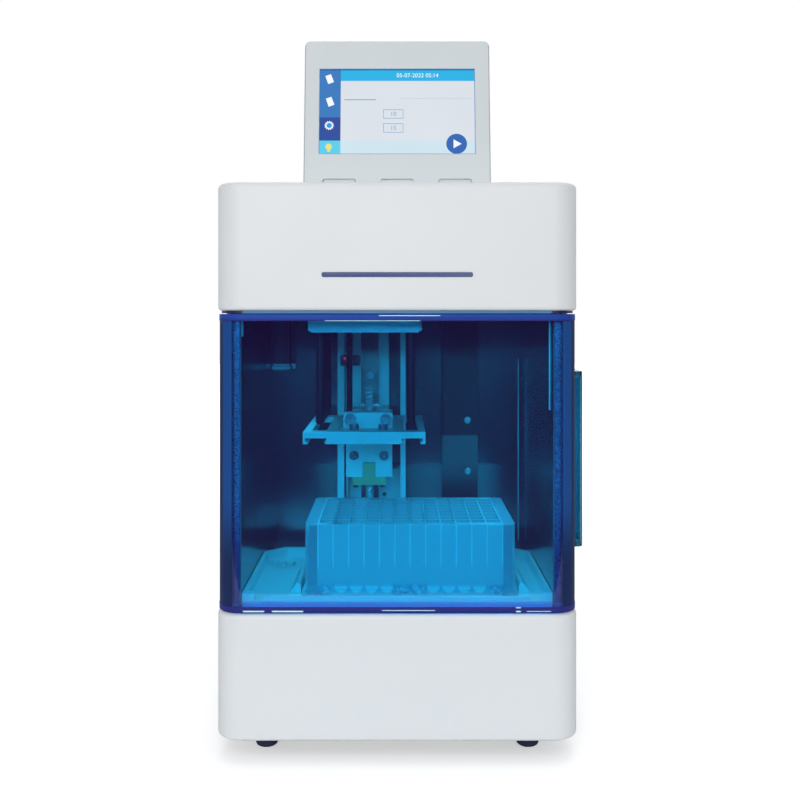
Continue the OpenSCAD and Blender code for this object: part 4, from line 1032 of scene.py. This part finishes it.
# %% Cap screws
def cap_screw(name, at, radius, height, finish, body):
    """A cap screw whose head points to the front; at is the middle of its base in mm."""
    bm = bmesh.new()
    turns = [math.tau * k / 36 for k in range(36)]

    def loop(reaches, off):
        return add_ring(bm, [(at[0] + reach * math.cos(turn), at[1] - off, at[2] + reach * math.sin(turn))
                             for turn, reach in zip(turns, reaches)])

    hexagon = [radius * 0.5 / math.cos((turn % (math.tau / 6)) - math.tau / 12) for turn in turns]
    stack(bm, [loop([radius] * 36, 0), loop([radius] * 36, height * 0.6), loop([radius - 0.3] * 36, height),
               loop(hexagon, height), loop(hexagon, height * 0.45)], start=True, end=True)
    return as_piece(name, bm, finish, body, smooth_angle=40)


for i, height in enumerate((207.9, 232.9)):
    cap_screw("z_rail_screw_%d" % (i + 1), (-18.8, -9.0, height), 2.7, 0.03, "screw_dark", "head_carriage")

# %% [markdown]
# ## The lit screen
# The panel glows by itself, so its picture is made of very thin plates with an emission colour,
# a few hundredths of a millimetre above each other. They sit in the display's own frame, which
# leans back by 7.5 degrees on its hinge line.

# %% Screen colours and frame
LEAN = Matrix.Rotation(math.radians(-7.5), 4, "X")
DISPLAY = Matrix.Translation((0, -0.0925, 0.3299)) @ LEAN
SCREEN_LEFT, SCREEN_TOP = -47.52, 71.06
SCREEN_FACE = -4.6


def linear(r, g, b):
    """A colour given in 0-255 screen values, as linear light."""
    return tuple(((v / 255 + 0.055) / 1.055) ** 2.4 if v > 10 else v / 255 / 12.92 for v in (r, g, b))


def lit(name, colour):
    """A glowing finish with the faint unevenness of a backlight."""
    tree, bsdf = principled(name, (0.01, 0.01, 0.012), 0.35, Specular_IOR_Level=0.12, Emission_Strength=1.0)
    level = maths(tree, "SUBTRACT", 1.02, times(tree, noise(tree, place(tree), 30.0), 0.05))
    mixed = tree.nodes.new("ShaderNodeCombineColor")
    for channel in range(3):
        wire(tree, times(tree, level, colour[channel]), mixed.inputs[channel])
    wire(tree, mixed.outputs[0], bsdf.inputs["Emission Color"])


for name, screen_colour in (
        ("page", (219, 225, 232)), ("header", (31, 178, 230)), ("menu", (52, 120, 190)),
        ("chosen", (38, 74, 155)), ("lamp_key", (90, 205, 235)), ("white", (246, 250, 252)),
        ("line", (95, 160, 205)), ("edge", (60, 135, 200)), ("deep", (30, 80, 160)), ("hub", (40, 150, 225)),
        ("pale", (190, 205, 214)), ("band", (205, 228, 238)), ("button", (45, 100, 180)),
        ("yellow", (235, 225, 120))):
    lit("lit_" + name, linear(*screen_colour))
nodes["touch_screen"].material_slots[0].material = finishes["lit_page"]
print("screen finishes ready")


# %% [markdown]
# ### What the screen shows
# A picture could be an image texture. Shapes cut from thin plates stay sharp at any distance, and
# each one has its own glowing finish: a header, a menu with its icons, a page with two number
# fields, and a round start button.

# %% Screen pads
def on_screen(x, y, layer):
    """A point x to the right of and y below the screen's corner, in millimetres, in the row frame."""
    return DISPLAY @ (Vector((SCREEN_LEFT + x, SCREEN_FACE - 0.03 * layer, SCREEN_TOP - y)) * MM)


def pad_group(name, finish, shapes, layer):
    """Thin plates; each shape is a list of (x, y) points on the screen."""
    bm = bmesh.new()
    for shape in shapes:
        front = [bm.verts.new(on_screen(x, y, layer)) for x, y in shape]
        back = [bm.verts.new(on_screen(x, y, 0.2)) for x, y in shape]
        bm.faces.new(front)
        bm.faces.new(back[::-1])
        join_rings(bm, front, back)
    return as_piece(name, bm, finish, "display")


def box_shape(x0, y0, x1, y1):
    """A rectangle from one corner to the other, like every shape here in mm on the screen."""
    return [(x0, y0), (x1, y0), (x1, y1), (x0, y1)]


def disc_shape(x, y, r):
    """A disc of forty corners."""
    return [(x + r * math.cos(math.tau * k / 40), y + r * math.sin(math.tau * k / 40)) for k in range(40)]


def frame_shapes(x0, y0, x1, y1, w):
    """Four bars round a rectangle, w wide."""
    return [box_shape(x0, y0, x1, y0 + w), box_shape(x0, y1 - w, x1, y1),
            box_shape(x0, y0 + w, x0 + w, y1 - w), box_shape(x1 - w, y0 + w, x1, y1 - w)]


def gear_shape(x, y, r, teeth=12):
    """A gear wheel seen flat."""
    points = []
    for k in range(teeth * 4):
        reach = r if k % 4 in (0, 1) else r * 0.78
        angle = math.tau * (k + 0.5) / (teeth * 4)
        points.append((x + reach * math.cos(angle), y + reach * math.sin(angle)))
    return points


for name, finish, layer, shapes in (
        ("header", "header", 1, [box_shape(13.1, 0.9, 95.0, 7.7)]),
        ("menu", "menu", 1, [box_shape(0.3, 0.9, 13.1, 30.8)]),
        ("menu_chosen", "chosen", 1, [box_shape(0.3, 30.8, 13.1, 45.4)]),
        ("lamp_key", "lamp_key", 1, [box_shape(0.3, 45.4, 13.1, 53.6)]),
        ("band", "band", 1, [box_shape(13.1, 45.4, 95.0, 53.6)]),
        ("border", "edge", 2, frame_shapes(0.0, 0.0, 95.04, 53.86, 0.35)),
        ("top_line", "deep", 1, [box_shape(0.35, 0.35, 95.0, 0.95)]),
        ("lines", "line", 2, [box_shape(15.3, 19.4, 34.5, 19.9)]
         + frame_shapes(39.1, 25.8, 51.3, 31.5, 0.3) + frame_shapes(39.1, 34.6, 51.3, 40.3, 0.3)),
        ("pale_lines", "pale", 2, [box_shape(49.5, 18.8, 92.9, 19.1)]),
        ("button", "button", 2, [disc_shape(83.6, 47.4, 6.3)]),
        ("triangle", "white", 3, [[(81.7, 44.6), (86.6, 47.4), (81.7, 50.2)]]),
        ("icons", "white", 2, [[(3.6, 4.6), (7.0, 3.4), (8.9, 8.4), (5.4, 9.7)], gear_shape(6.2, 35.9, 2.9),
                               [(4.0, 18.9), (7.4, 17.8), (9.3, 22.8), (5.8, 24.1)]]),
        ("gear_hole", "hub", 3, [disc_shape(6.2, 35.9, 1.6)]),
        ("bulb", "yellow", 2, [disc_shape(6.0, 49.2, 1.9), box_shape(5.2, 50.8, 6.8, 52.4)])):
    pad_group("screen_" + name, "lit_" + finish, shapes, layer)


# %% [markdown]
# ### Figures
# Digits are text objects, which Blender turns into outlines with a little depth. Only numbers are
# shown.

# %% Screen figures
FIGURE_LAYER = 3


def figures(name, text, x, y, height, finish):
    """Digits on the screen, their middle at x, y."""
    curve = bpy.data.curves.new(name, "FONT")
    curve.body = text
    curve.size = height * MM
    curve.align_x = "CENTER"
    curve.align_y = "CENTER"
    curve.extrude = 0.00001
    curve.materials.append(finishes[finish])
    piece = bpy.data.objects.new(name, curve)
    bpy.context.collection.objects.link(piece)
    upright = Matrix.Rotation(math.radians(90), 4, "X")
    piece.matrix_world = Matrix.Translation(on_screen(x, y, FIGURE_LAYER)) @ LEAN @ upright
    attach(piece, "display")


figures("screen_clock", "05-07-2022 05:14", 60.0, 4.3, 3.6, "lit_white")
figures("screen_number_a", "10", 45.2, 28.7, 3.8, "lit_line")
figures("screen_number_b", "15", 45.2, 37.5, 3.8, "lit_line")
print("screen pieces ride on the display")
